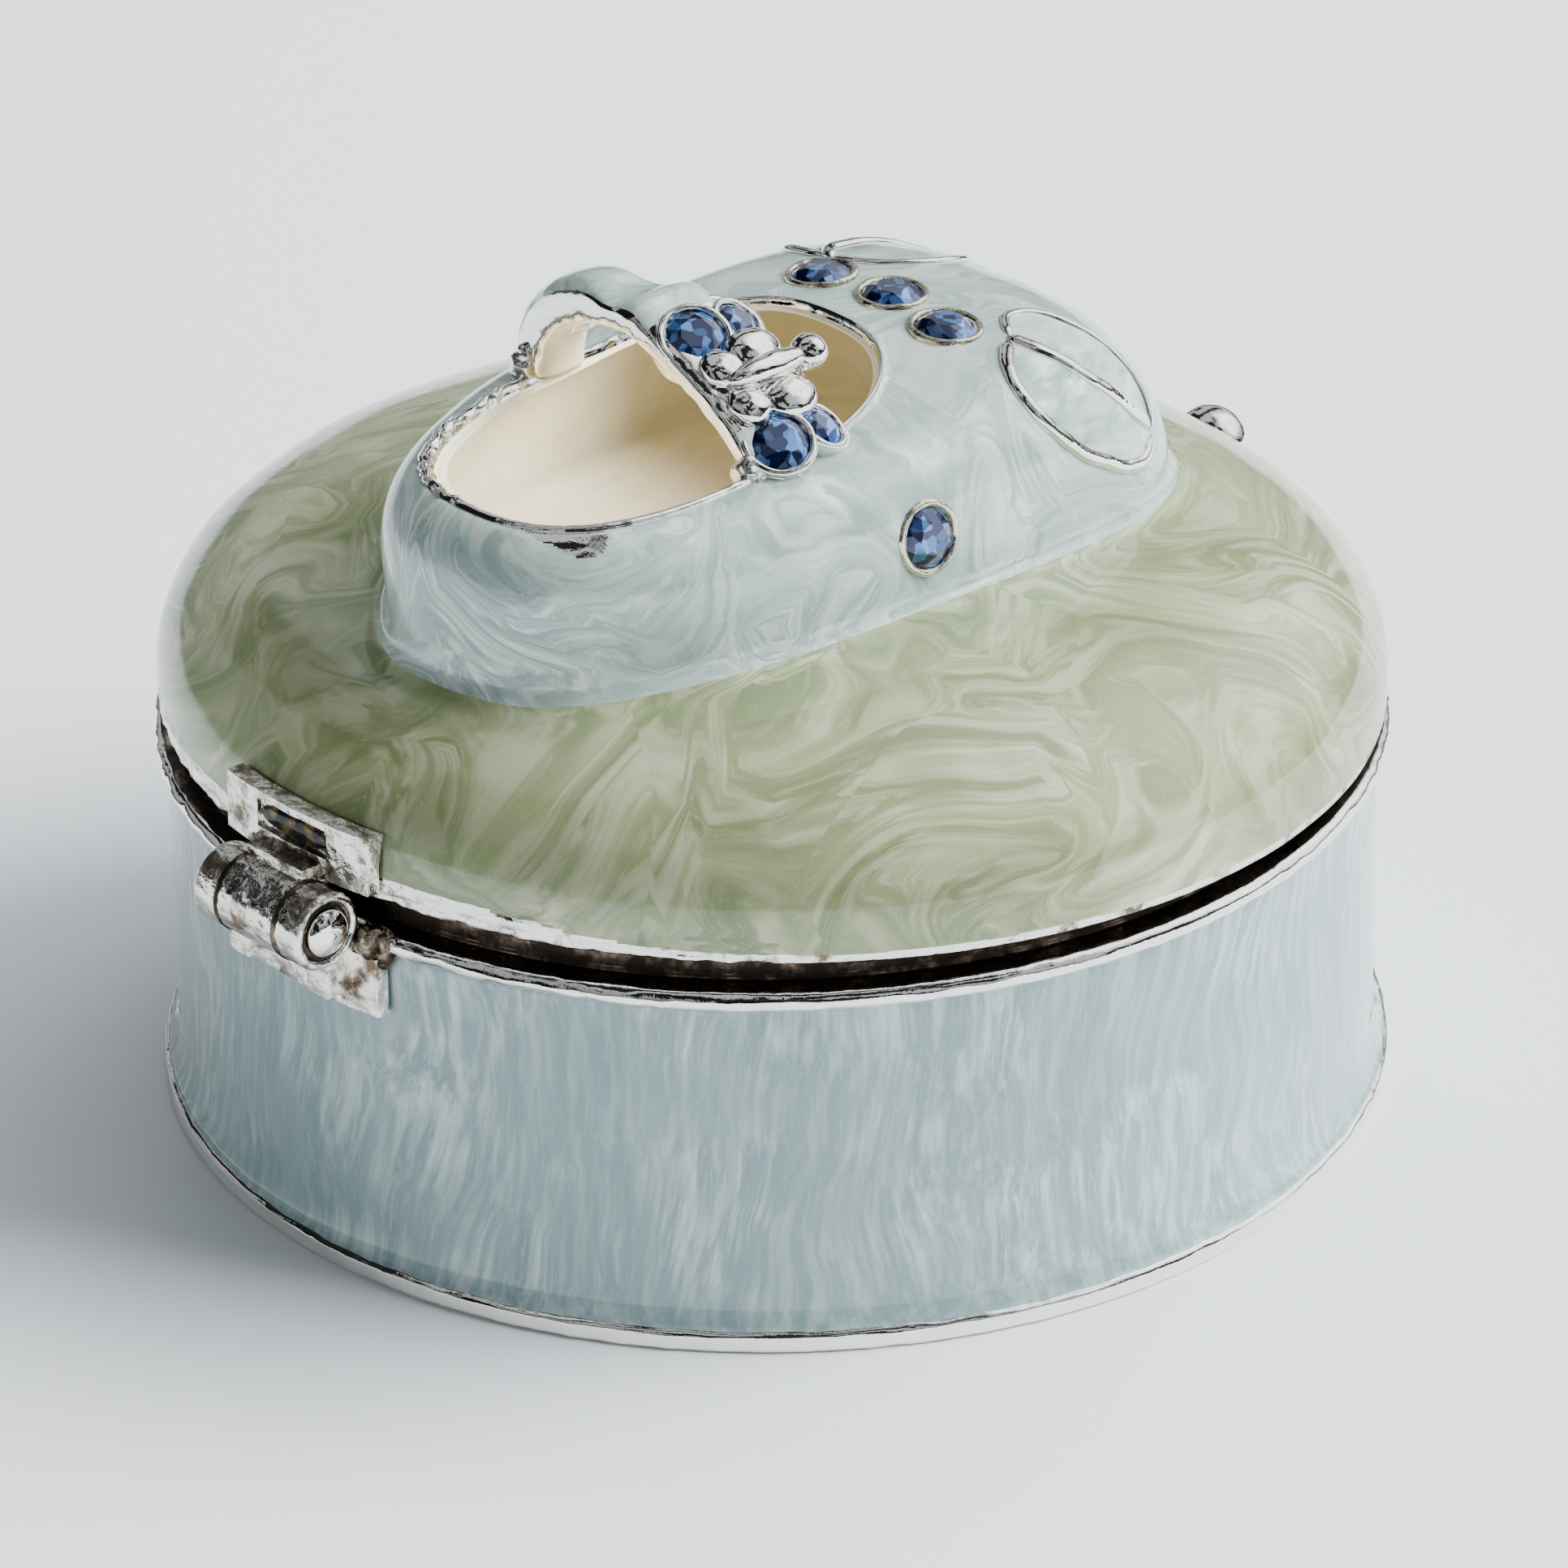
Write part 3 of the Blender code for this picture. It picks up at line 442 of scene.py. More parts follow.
def opening_outline(angle, grow):
    """Edge of the foot opening, which rises from the heel to the vamp."""
    forward = 0.5 - 0.5 * math.sin(angle)
    power = 2.0 / OPENING_ROUNDNESS
    middle = SHOE_OFFSET - 0.38 - 0.5 * math.sin(angle)
    x = middle + (OPENING_WIDTH / 2 + grow) * signed_power(math.cos(angle), power)
    y = OPENING_CENTRE + (OPENING_LENGTH / 2 + grow) * signed_power(math.sin(angle), power)
    return Vector((x, y, mix(HEEL_RISE, VAMP_RISE, forward ** 2.2)))


def wall_curve(start, end, angle, share, fullness):
    """Place on the shoe's side between the lid and the foot opening."""
    toe = toe_share(angle)
    last = math.radians(89.0)
    turn = share * last
    power = 2.0 / 1.9
    across = (1.0 - math.cos(turn) ** power) / (1.0 - math.cos(last) ** power)
    point = start.lerp(end, across)
    point.z = mix(start.z, end.z, (math.sin(turn) / math.sin(last)) ** power)
    outward = Vector((start.x - end.x, start.y - end.y, 0.0)).normalized()
    bulge = outward * HEEL_BULGE * (1.0 - toe) + Vector((0.0, 0.0, VAMP_BULGE * toe))
    return point + bulge * fullness * math.sin(math.pi * share) ** 2


def on_dome(point):
    return Vector((point.x, point.y, dome_height(math.hypot(point.x, point.y))))


def dome_point(angle, share):
    """On the dome: share 0 on its shoulder, 1 at the foot of the fillet."""
    shoulder = Vector((math.cos(angle), math.sin(angle), 0.0)) * LID_RADIUS * 0.95
    return on_dome(shoulder.lerp(sole_outline(angle, SHOE_FILLET), share))


def fillet_point(angle, share):
    point = on_dome(sole_outline(angle, SHOE_FILLET * (1.0 - share) ** 2))
    return point + Vector((0.0, 0.0, FILLET_RISE * share ** 1.8))


def shoe_point(angle, share):
    return wall_curve(fillet_point(angle, 1.0), opening_outline(angle, 0.0), angle, share, 1.0)


def hollow_point(angle, share):
    """On the lining: share 0 at the shoe's floor, 1 at the opening's lip."""
    inset = mix(2.2, 6.0, smooth_share(-math.sin(angle)))
    start = sole_outline(angle, -inset)
    start.z = SHOE_FLOOR
    end = opening_outline(angle, -mix(SHOE_WALL, VAMP_WALL, toe_share(angle)))
    end.z -= 0.4
    return wall_curve(start, end, angle, share, 0.3)


def lip_point(angle, along, lift):
    """On the opening's lip: a silver bead outside, then the cream lining rolling inwards."""
    point = opening_outline(angle, 0.0).lerp(hollow_point(angle, 1.0), along)
    return point + Vector((0.0, 0.0, lift))


def floor_point(angle, share):
    return FLOOR_CENTRE.lerp(hollow_point(angle, 0.0), share)


def round_ring(radius, height):
    return lambda angle: Vector((radius * math.cos(angle), radius * math.sin(angle), height))


def shoulder_radius(outer, lift):
    """Radius at which the dome has the given share of its rise."""
    return outer * (1.0 - lift ** 2) ** (1.0 / DOME_SHOULDER)


def along_curve(zone, curve, shares):
    """Rows on a curve that takes an angle and a share."""
    return [(zone, lambda angle, share=share: curve(angle, share)) for share in shares]


def lid_rings():
    """(zone, place by angle) of each ring, from the underside's middle to the shoe's floor."""
    inner = LID_RADIUS - LID_LIP
    inner_rise = DOME_RISE - LID_WALL
    rings = []
    for step in range(0, 12):
        radius = inner * step / 14
        rings.append(("under", round_ring(radius, dome_height(radius, inner, inner_rise))))
    for step in range(1, 9):
        lift = math.cos(math.radians(mix(42.0, 90.0, step / 8)))
        radius = shoulder_radius(inner, lift)
        rings.append(("under", round_ring(radius, LID_EDGE + inner_rise * lift)))
    for radius, height in ((inner, 0.9), (inner, 0.12)):
        rings.append(("under", round_ring(radius, height)))
    for radius, height in (
        (inner + 0.1, 0.0), (LID_RADIUS - 0.12, 0.0), (LID_RADIUS - 0.02, 0.12),
        (LID_RADIUS, 0.3), (LID_RADIUS, 0.46),
    ):
        rings.append(("edge", round_ring(radius, height)))
    for height in (0.52, 0.65, 0.8, 0.95, 1.1, 1.25, 1.4):
        rings.append(("lid", round_ring(LID_RADIUS + 0.02, height)))
    for step in range(0, 12):
        lift = math.sin(math.radians(mix(0.0, 26.0, step / 11)))
        radius = shoulder_radius(LID_RADIUS, lift)
        rings.append(("lid", round_ring(radius, LID_EDGE + DOME_RISE * lift)))
    rings += along_curve("lid", dome_point, [step / 24 for step in range(1, 25)])
    rings += along_curve("lid", fillet_point, [step / 7 for step in range(1, 4)])
    rings += along_curve("shoe", fillet_point, [step / 7 for step in range(4, 8)])
    rings += along_curve("shoe", shoe_point, [step / 42 for step in range(1, 43)])
    for zone, rows in (("rim", LIP_BEAD), ("hollow", LIP_INSIDE)):
        for along, lift in rows:
            rings.append((zone, lambda angle, place=(along, lift): lip_point(angle, *place)))
    rings += along_curve("hollow", hollow_point, [1.0 - step / 21 for step in range(0, 22)])
    rings += along_curve("hollow", floor_point, [0.75, 0.5, 0.25, 0.0])
    return rings


def rolled(rings, around, zone):
    """Closed skin through rings of (name, place by angle); zone gives each face's material."""
    bm = bmesh.new()
    rows = len(rings)
    bmesh.ops.create_grid(bm, x_segments=around, y_segments=rows - 1, size=0.5)
    for face in bm.faces:
        centre = face.calc_center_median()
        row = int((centre.y + 0.5) * (rows - 1)) + 1
        face.material_index = zone(rings[row][0], 2.0 * math.pi * (centre.x + 0.5))
    for vert in bm.verts:
        row = round((vert.co.y + 0.5) * (rows - 1))
        vert.co = rings[row][1](2.0 * math.pi * (vert.co.x + 0.5))
    close_skin(bm)
    return bm


lid_enamel = pearl_enamel(
    "lid_pearl_enamel", (0.145, 0.18, 0.075), (0.25, 0.295, 0.145), (0.70, 0.74, 0.52),
    size=9.5, turn=3.8, stretch=(1.0, 0.11, 1.0), grain=1.25, contrast=0.85,
)
shoe_enamel = pearl_enamel(
    "shoe_pearl_enamel", (0.20, 0.285, 0.26), (0.33, 0.445, 0.41), (0.84, 0.92, 0.89),
    size=8.0, turn=3.8, stretch=(1.0, 0.11, 1.0), grain=0.90, contrast=0.75,
)
cream_enamel = pearl_enamel(
    "cream_lining", (0.93, 0.82, 0.56), (0.98, 0.90, 0.66), (1.0, 0.97, 0.84),
    size=8.0, turn=2.0, stretch=(1.0, 0.3, 1.0), grain=1.2, lustre=0.1,
)

LID_MATERIALS = [
    lid_enamel, shoe_enamel, bright_silver, cream_enamel, worn_silver, inside_silver,
]
LID, SHOE, RIM, HOLLOW, EDGE, UNDER = range(len(LID_MATERIALS))
ZONES = {"lid": LID, "shoe": SHOE, "rim": RIM, "hollow": HOLLOW, "edge": EDGE, "under": UNDER}

lid = rolled(lid_rings(), LID_STEPS, lambda name, turn: ZONES[name])
shoe_surface = BVHTree.FromBMesh(lid)
# All of the skin is a little uneven, and the opening's bead is beaten, most of all on the
# far side and beside the strap.
hammered = {vert for face in lid.faces if face.material_index == RIM for vert in face.verts}
for vert in lid.verts:
    beaten = 0.0
    if vert in hammered:
        far_side = smooth_share((vert.co.x + 3.0) / 3.0) * smooth_share((vert.co.y - 1.0) / 3.0)
        beside_strap = smooth_share(1.5 - abs(vert.co.y - 8.0) / 4.0)
        rough = max(far_side, beside_strap, 0.12)
        beaten = rough * (0.16 * wander(vert.co, 0.55) + 0.10 * wander(vert.co, 0.28, 5.0))
    vert.co += vert.normal * (0.035 * wander(vert.co, 4.0) + beaten)

# A drip of silver hangs over the near side of the lip, and the silver edge of the lid is
# wider and beaten beside the hinge.
DRIP_CENTRE = 19.7
DRIP_HALF = 1.4
for face in lid.faces:
    centre = face.calc_center_median()
    if face.material_index == LID and centre.z < LID_EDGE:
        from_hinge = math.degrees(abs(math.atan2(centre.x, centre.y)))
        widening = 0.75 * smooth_share((42.0 - from_hinge) / 26.0)
        if centre.z < 0.5 + widening + 0.1 * wander(centre, 1.5):
            face.material_index = EDGE
    if face.material_index == SHOE and centre.x < -4.5 and abs(centre.y - DRIP_CENTRE) < 1.5:
        hang = 0.75 * (1.0 - ((centre.y - DRIP_CENTRE) / DRIP_HALF) ** 2)
        hang += 0.15 * wander(centre, 0.5)
        if centre.z > HEEL_RISE + 0.05 - hang:
            face.material_index = RIM
for vert in lid.verts:
    on_edge = math.hypot(vert.co.x, vert.co.y) > LID_RADIUS - 0.2
    if on_edge and vert.co.y > 20.0 and vert.co.z < 1.5:
        hammer = 0.14 * wander(vert.co, 0.55, 11.0) + 0.08 * wander(vert.co, 0.3, 2.0)
        vert.co += vert.normal * (hammer - 0.05)
move(lid, lean)
lid_piece = place_piece("enamelled_lid_and_shoe", lid, LID_MATERIALS, "lid")
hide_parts("lid_with_shoe")

# Strap: a band cast over the foot opening, enamelled outside, silver along its edges and
# cream underneath. It is full at +X, creased in the middle, and slopes to -X.
STRAP_RISE = 5.15
STRAP_CREST = 1.5
STRAP_BACK = 9.8
STRAP_WIDTH = 4.6
STRAP_THICKNESS = 1.3
FAR_HALF = 1.7
WINGS_HALF = 2.45
FAR_CROWN = 1.35
WINGS_CROWN = 0.65
CREASE = 0.55
STRAP_STEPS = 128


def cap_ends(bm):
    bmesh.ops.holes_fill(bm, edges=[edge for edge in bm.edges if edge.is_boundary], sides=0)


def strap_ends():
    """Across at +X, across at -X, and height, where the strap meets the opening's edge."""
    share = (STRAP_BACK - STRAP_WIDTH / 2 - OPENING_CENTRE) / (OPENING_LENGTH / 2)
    angle = math.asin(signed_power(share, OPENING_ROUNDNESS / 2))
    half_span = OPENING_WIDTH / 2 * math.cos(angle) ** (2.0 / OPENING_ROUNDNESS) - 0.1 * SHOE_WALL
    return SHOE_OFFSET + half_span, SHOE_OFFSET - half_span, opening_outline(angle, 0.0).z


def strap_curve(share):
    """Outer line of the arch: share 0 at +X, 1 at -X."""
    far, near, foot = strap_ends()
    crest = SHOE_OFFSET + STRAP_CREST
    turn = math.pi * min(max(share, 0.0), 1.0)
    power = 2.0 / (2.3 if share < 0.5 else 1.35)
    reach = far - crest if share < 0.5 else crest - near
    across = crest + reach * signed_power(math.cos(turn), power)
    return Vector((across, 0.0, foot + STRAP_RISE * math.sin(turn) ** power))


def strap_normal(share):
    along = (strap_curve(share + 0.02) - strap_curve(share - 0.02)).normalized()
    return Vector((along.z, 0.0, -along.x))


def strap_section(share, turn):
    """Place on the band: turn goes once round its crowned section."""
    wings_side = smooth_share((share - 0.42) / 0.14)
    half = mix(FAR_HALF, WINGS_HALF, wings_side)
    across = signed_power(math.cos(turn), 0.75)
    up = signed_power(math.sin(turn), 0.75)
    dip = math.exp(-((share - 0.47) / 0.05) ** 2)
    lobe = math.exp(-((share - 0.57) / 0.05) ** 2)
    crown = mix(FAR_CROWN, WINGS_CROWN, wings_side) - CREASE * dip + CREASE * lobe
    height = up * (crown if up > 0.0 else 0.95 * STRAP_THICKNESS)
    point = strap_curve(share) + strap_normal(share) * height
    return point + Vector((0.0, STRAP_BACK - half + across * half, 0.0))


def strap_zone(name, turn):
    """0 enamel outside, 1 silver along the edges and between the wings, 2 cream underneath."""
    degrees = math.degrees(turn)
    if degrees > 320.0 or degrees < 26.0 or 165.0 < degrees < 200.0:
        return 1
    if name == "between_wings" and degrees < 180.0:
        return 1
    return 0 if degrees < 180.0 else 2


strap_rings = []
for step in range(0, STRAP_STEPS + 1):
    share = step / STRAP_STEPS
    stretch = "between_wings" if 0.62 < share < 0.86 else "plain"
    strap_rings.append((stretch, lambda turn, share=share: strap_section(share, turn)))
strap = rolled(strap_rings, 56, strap_zone)
for vert in strap.verts:
    rough = 0.07 if vert.co.y > STRAP_BACK - 0.5 else 0.02
    vert.co += vert.normal * rough * wander(vert.co, 0.8)
cap_ends(strap)
move(strap, lean)
strap_materials = [shoe_enamel, bright_silver, cream_enamel]
place_piece("strap", strap, strap_materials, "lid")


def lump(matrix, radii, roughness, seed):
    """Rounded, slightly beaten ellipsoid."""
    bm = bmesh.new()
    bmesh.ops.create_uvsphere(bm, u_segments=40, v_segments=24, radius=1.0)
    bmesh.ops.scale(bm, vec=radii, verts=bm.verts)
    for vert in bm.verts:
        dents = wander(vert.co, 0.7, seed) + 0.6 * wander(vert.co, 0.35, seed)
        vert.co += vert.normal * roughness * dents
    move(bm, matrix)
    return bm


# Silver clumps where the strap's feet run into the lip of the opening: (share, radii).
STRAP_FEET = [(0.97, (0.8, 0.75, 1.1)), (0.03, (0.7, 0.7, 1.2))]
for index, (share, radii) in enumerate(STRAP_FEET):
    foot = strap_curve(share) + Vector((0.0, STRAP_BACK - 0.1, -0.35))
    clump = lump(lean @ Matrix.Translation(foot), radii, 0.28, 3.0 + index)
    place_piece(f"strap_foot_silver_{index}", clump, [worn_silver])

# Toe leaves: two pairs of leaf outlines in raised silver wire on the toe, each filled with
# clearer, streaky enamel. Places are in the lid's plane, (across, along) in millimetres.
NEAR_INNER = [
    (-7.6, -8.6), (-6.2, -9.7), (-6.0, -10.9), (-6.5, -12.0), (-7.4, -12.8), (-8.3, -13.7),
    (-9.3, -14.6), (-10.4, -15.2), (-11.4, -14.8),
]
NEAR_MIDDLE = [
    (-7.6, -8.4), (-9.1, -9.1), (-10.1, -9.8), (-10.9, -10.7), (-11.3, -12.0), (-11.5, -13.2),
    (-11.4, -14.7),
]
NEAR_OUTER = [
    (-7.8, -8.3), (-9.4, -6.7), (-10.9, -5.9), (-12.0, -6.1), (-12.6, -7.0), (-12.95, -8.4),
    (-12.95, -10.0), (-12.8, -11.6), (-12.3, -13.4), (-11.5, -14.7),
]
FAR_INNER = [
    (4.9, -8.5), (3.0, -9.3), (1.9, -10.4), (1.2, -11.8), (1.2, -13.5), (1.9, -15.1),
    (3.3, -16.3), (4.9, -16.6),
]
FAR_MIDDLE = [
    (4.9, -8.5), (6.0, -9.5), (6.1, -10.9), (6.1, -12.7), (5.9, -14.5), (4.9, -16.5),
]
FAR_OUTER = [
    (5.2, -8.4), (8.0, -8.7), (9.8, -10.2), (10.4, -12.2), (9.6, -14.4), (7.4, -16.2),
    (5.1, -16.6),
]
WIRE_POINTS = 90
LEAF_POINTS = 60
MIDDLE_WIRE = 0.38
DOWN = Vector((0.0, 0.0, -1.0))


def between(first, second, share):
    return [mix(first[axis], second[axis], share) for axis in (0, 1)]


def smooth_line(points, count):
    """Evenly spread places on a soft curve through the given ones."""
    fine = []
    padded = [points[0]] + points + [points[-1]]
    for group in zip(padded, padded[1:], padded[2:], padded[3:]):
        for step in range(12):
            share = step / 12
            fine.append([0.5 * (
                2.0 * start + (end - before) * share
                + (2.0 * before - 5.0 * start + 4.0 * end - after) * share ** 2
                + (3.0 * start - before - 3.0 * end + after) * share ** 3
            ) for before, start, end, after in zip(*group)])
    fine.append(list(points[-1]))
    lengths = [0.0]
    for first, second in zip(fine, fine[1:]):
        lengths.append(lengths[-1] + math.dist(first, second))
    line = []
    index = 0
    for step in range(count):
        target = lengths[-1] * step / (count - 1)
        while index < len(fine) - 2 and lengths[index + 1] < target:
            index += 1
        share = (target - lengths[index]) / max(lengths[index + 1] - lengths[index], 0.0001)
        line.append(between(fine[index], fine[index + 1], min(share, 1.0)))
    return line


def on_shoe(across, along):
    """Point and normal of the shoe's skin under a place in the lid's plane."""
    point, normal, _, _ = shoe_surface.ray_cast(Vector((across, along, 40.0)), DOWN)
    return point, normal if normal.z > 0.0 else -normal


def wire_mesh(points, radius, seed):
    """Flattened silver wire laid on the shoe along a line."""
    line = [on_shoe(*place) for place in smooth_line(points, WIRE_POINTS)]
    rings = []
    for index, (point, normal) in enumerate(line):
        ahead = line[min(index + 1, len(line) - 1)][0] - line[max(index - 1, 0)][0]
        side = ahead.cross(normal).normalized()
        taper = smooth_share(0.25 + min(index, len(line) - 1 - index) / 8.0)
        thick = radius * taper * (1.0 + 0.12 * wander(point, 0.8, seed))
        rings.append(("wire", lambda turn, point=point, normal=normal, side=side, thick=thick: (
            point + side * thick * math.cos(turn) + normal * (0.7 * thick * math.sin(turn) + 0.03)
        )))
    wire = rolled(rings, 12, lambda name, turn: 0)
    cap_ends(wire)
    move(wire, lean)
    return wire


def leaf_field(first, second):
    """Skin of clearer enamel between two wires, just above the shoe's own enamel."""
    first, second = smooth_line(first, LEAF_POINTS), smooth_line(second, LEAF_POINTS)
    last = LEAF_POINTS - 1
    bm = bmesh.new()
    bmesh.ops.create_grid(bm, x_segments=last, y_segments=18, size=0.5)
    for vert in bm.verts:
        index = min(max(round((vert.co.x + 0.5) * last), 0), last)
        share = vert.co.y + 0.5
        point, normal = on_shoe(*between(first[index], second[index], share))
        vert.co = point + normal * (0.05 - 0.03 * math.sin(math.pi * share))
    underside = bmesh.ops.extrude_face_region(bm, geom=bm.faces[:], use_keep_orig=True)["geom"]
    for item in underside:
        if isinstance(item, bmesh.types.BMVert):
            item.co.z -= 0.15
    close_skin(bm)
    move(bm, lean)
    return bm


leaf_enamel = pearl_enamel(
    "toe_leaf_enamel", (0.16, 0.26, 0.23), (0.34, 0.47, 0.43), (0.86, 0.93, 0.90),
    size=5.0, turn=0.0, stretch=(0.5, 0.22, 1.0), grain=0.55, contrast=1.2,
)
LEAVES = [
    ("near_inner", NEAR_INNER, NEAR_MIDDLE, 0.26), ("near_outer", NEAR_OUTER, NEAR_MIDDLE, 0.38),
    ("far_inner", FAR_INNER, FAR_MIDDLE, 0.26), ("far_outer", FAR_OUTER, FAR_MIDDLE, 0.34),
]
for index, (name, line, middle, radius) in enumerate(LEAVES):
    field = leaf_field(line, middle)
    place_piece("leaf_enamel_" + name, field, [leaf_enamel], "lid")
    wire = wire_mesh(line, radius, index)
    place_piece("leaf_wire_" + name, wire, [bright_silver])
for name, middle in (("near", NEAR_MIDDLE), ("far", FAR_MIDDLE)):
    wire = wire_mesh(middle, MIDDLE_WIRE, 9.0)
    place_piece("leaf_wire_" + name + "_middle", wire, [bright_silver])

# Crystals: blue foil-backed chatons, two sizes, each with a flat table, a belt and sloping
# facets. Each sits where its solid sits, in a silver setting.
STONES = sorted(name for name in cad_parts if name.startswith("stone_"))
STONE_RADIUS = 1.5
SMALL_STONE_RADIUS = 1.1
STONE_ROWS = [  # (corners, turned by, radius, height) as shares of a step and of the radius
    (8, 0.0, 0.55, 0.34), (8, 0.5, 0.80, 0.20), (16, 0.25, 1.0, 0.03),
    (16, 0.25, 1.0, -0.05), (8, 0.0, 0.55, -0.30), (8, 0.5, 0.2, -0.40),
]
SETTING_WALL = 0.42
WING_SETTING = (1.15, -0.25)
PLAIN_SETTING = (0.5, 0.1)


def stone_place(name):
    """Matrix with +Z out of the stone's table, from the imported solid."""
    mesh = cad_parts[name].data
    areas = {}
    for polygon in mesh.polygons:
        key = tuple(round(value, 2) for value in polygon.normal)
        total, normal = areas.get(key, (0.0, polygon.normal.copy()))
        areas[key] = (total + polygon.area, normal)
    axis = max(areas.values(), key=lambda entry: entry[0])[1]
    middle = sum((vert.co for vert in mesh.vertices), Vector()) / len(mesh.vertices) / METRES
    return Matrix.Translation(middle) @ axis.to_track_quat("Z", "Y").to_matrix().to_4x4()


def brilliant(radius):
    """Faceted stone: table, stars, belt and pavilion, as the hull of its corners."""
    bm = bmesh.new()
    for count, offset, wide, height in STONE_ROWS:
        for step in range(count):
            turn = 2.0 * math.pi * (step + offset) / count
            across = (radius * wide * math.cos(turn), radius * wide * math.sin(turn))
            bm.verts.new((*across, radius * height))
    bmesh.ops.convex_hull(bm, input=bm.verts)
    bmesh.ops.dissolve_limit(bm, angle_limit=math.radians(1.0), verts=bm.verts, edges=bm.edges)
    bmesh.ops.recalc_face_normals(bm, faces=bm.faces)
    return bm


def blue_crystal():
    """Deep blue glass over foil, with painted glints: patches of facets are painted bright as
    highlights, the rest nearly black as painted shade.
    """
    material, tree, shader, place = new_material("blue_crystal")
    cells = make_node(tree, "TexVoronoi", {"Vector": place, "Scale": 1.9}).outputs["Color"]
    light = make_node(tree, "SeparateColor", {0: cells}).outputs[0]
    lit = spread(tree, light, 0.45, 1.0)
    colour = blend_colours(tree, lit, (0.003, 0.010, 0.055), (0.09, 0.24, 0.60))
    set_inputs(tree, shader, {
        "Base Color": colour, "Roughness": spread(tree, light, 0.0, 1.0, 0.03, 0.12),
        "Metallic": 0.75, "Coat Weight": 1.0, "Coat Roughness": 0.0, "Coat IOR": 1.6,
    })
    return material


def setting(radius, height, flare, seed):
    """Silver cup round a stone, with a rounded, slightly uneven lip."""
    inner, outer = radius - 0.25, radius + SETTING_WALL
    profile = [(inner, -SETTING_WALL)]
    profile += straight(profile[0], (radius + 0.02, 0.0), 2)
    profile += arc((radius + 0.2, 0.02), 0.2, 180.0, 10.0, 7)
    profile += straight((outer - 0.02, 0.0), (outer + flare, -height), 5)
    profile += straight((outer + flare, -height), (inner, -height), 2)
    profile += straight((inner, -height), (inner, -SETTING_WALL), 2)
    bm = spun(profile, 56)
    beat(bm, 0.05, 0.8, seed)
    return bm


crystal = blue_crystal()
gilt_setting = silver(
    "gilt_setting", (0.80, 0.74, 0.58), (0.16, 0.12, 0.06),
    cover=0.10, rough=0.25, pit_size=0.3, pit_depth=0.04,
)
for index, name in enumerate(STONES):
    short = name.removeprefix("stone_")
    radius = SMALL_STONE_RADIUS if name.endswith("small") else STONE_RADIUS
    matrix = stone_place(name)
    stone = brilliant(radius)
    turned = matrix @ Matrix.Rotation(index * 0.7, 4, "Z")
    move(stone, turned)
    stone_piece = place_piece("crystal_" + short, stone, [crystal], flat=True)
    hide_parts(name)
    on_wing = "wing" in name
    holder = setting(radius, *(WING_SETTING if on_wing else PLAIN_SETTING), index * 5.0)
    move(holder, matrix)
    holder_silver = bright_silver if on_wing else gilt_setting
    place_piece("setting_" + short, holder, [holder_silver])

# Butterfly: each wing is an enamelled pad with a silver dish on it, whose rim stands up
# round two crystals. Between the wings lie a body with a round head and webs of silver.
PAD_RADII = (2.65, 2.7, 0.85)
PAD_PLACE = (0.0, -0.3, -1.6)
DISH_SCALE = (0.88, 1.2, 1.0)
WING_DISH = [(0.0, -1.9), (2.4, -1.8), (2.62, -0.95)] + arc((2.4, -0.62), 0.26, -10.0, 190.0, 10)
WING_DISH += [(2.08, -0.95), (1.9, -1.05), (1.0, -1.1), (0.0, -1.1)]


def from_axes(across, along, out):
    return Matrix((across, along, out)).transposed().to_4x4()


def wing_matrix(side):
    """Matrix with +Y along the wing, towards its large stone, and +Z out of the strap."""
    large = stone_place(f"stone_wing_{side}_large")
    small = stone_place(f"stone_wing_{side}_small")
    length = (large.translation - small.translation).normalized()
    out = (large.col[2].to_3d() + small.col[2].to_3d()).normalized()
    across = length.cross(out).normalized()
    out = across.cross(length)
    middle = (large.translation + small.translation) / 2
    return Matrix.Translation(middle) @ from_axes(across, length, out)


wings = {side: wing_matrix(side) for side in ("left", "right")}
for index, (side, matrix) in enumerate(wings.items()):
    pad = lump(matrix @ Matrix.Translation(PAD_PLACE), PAD_RADII, 0.05, index)
    place_piece(f"wing_pad_{side}", pad, [shoe_enamel], "lid")
    dish = spun(WING_DISH, 96)
    bmesh.ops.scale(dish, vec=DISH_SCALE, verts=dish.verts)
    beat(dish, 0.10, 1.1, index * 4.0)
    move(dish, matrix)
    place_piece(f"wing_dish_{side}", dish, [bright_silver])

left, right = wings["left"], wings["right"]
body_centre = (left.translation + right.translation) / 2
body_out = (left.col[2].to_3d() + right.col[2].to_3d()).normalized()
body_side = (right.translation - left.translation).normalized()
body_length = body_out.cross(body_side).normalized()
body = Matrix.Translation(body_centre) @ from_axes(body_side, body_length, body_out)
toe_end = -1.0 if body_length.y > 0.0 else 1.0
BODY_LUMPS = [  # (name, place, radii, roughness)
    ("body", (0.0, 0.2 * toe_end, 1.05), (0.70, 2.6, 0.78), 0.04),
    ("head", (0.0, 2.75 * toe_end, 1.1), (0.95, 0.95, 0.9), 0.02),
    ("web_left", (-1.5, 0.6 * toe_end, 0.4), (1.25, 1.55, 0.85), 0.05),
    ("web_right", (1.5, 0.6 * toe_end, 0.4), (1.25, 1.55, 0.85), 0.05),
    ("tail_left", (-1.15, -1.6 * toe_end, 0.3), (1.15, 1.15, 0.75), 0.06),
    ("tail_right", (1.15, -1.6 * toe_end, 0.3), (1.15, 1.15, 0.75), 0.06),
    ("root", (0.0, 0.0, -0.25), (2.6, 2.8, 1.0), 0.10),
]
for index, (name, centre, radii, roughness) in enumerate(BODY_LUMPS):
    bead = lump(body @ Matrix.Translation(centre), radii, roughness, 20.0 + index)
    place_piece("butterfly_" + name, bead, [bright_silver])

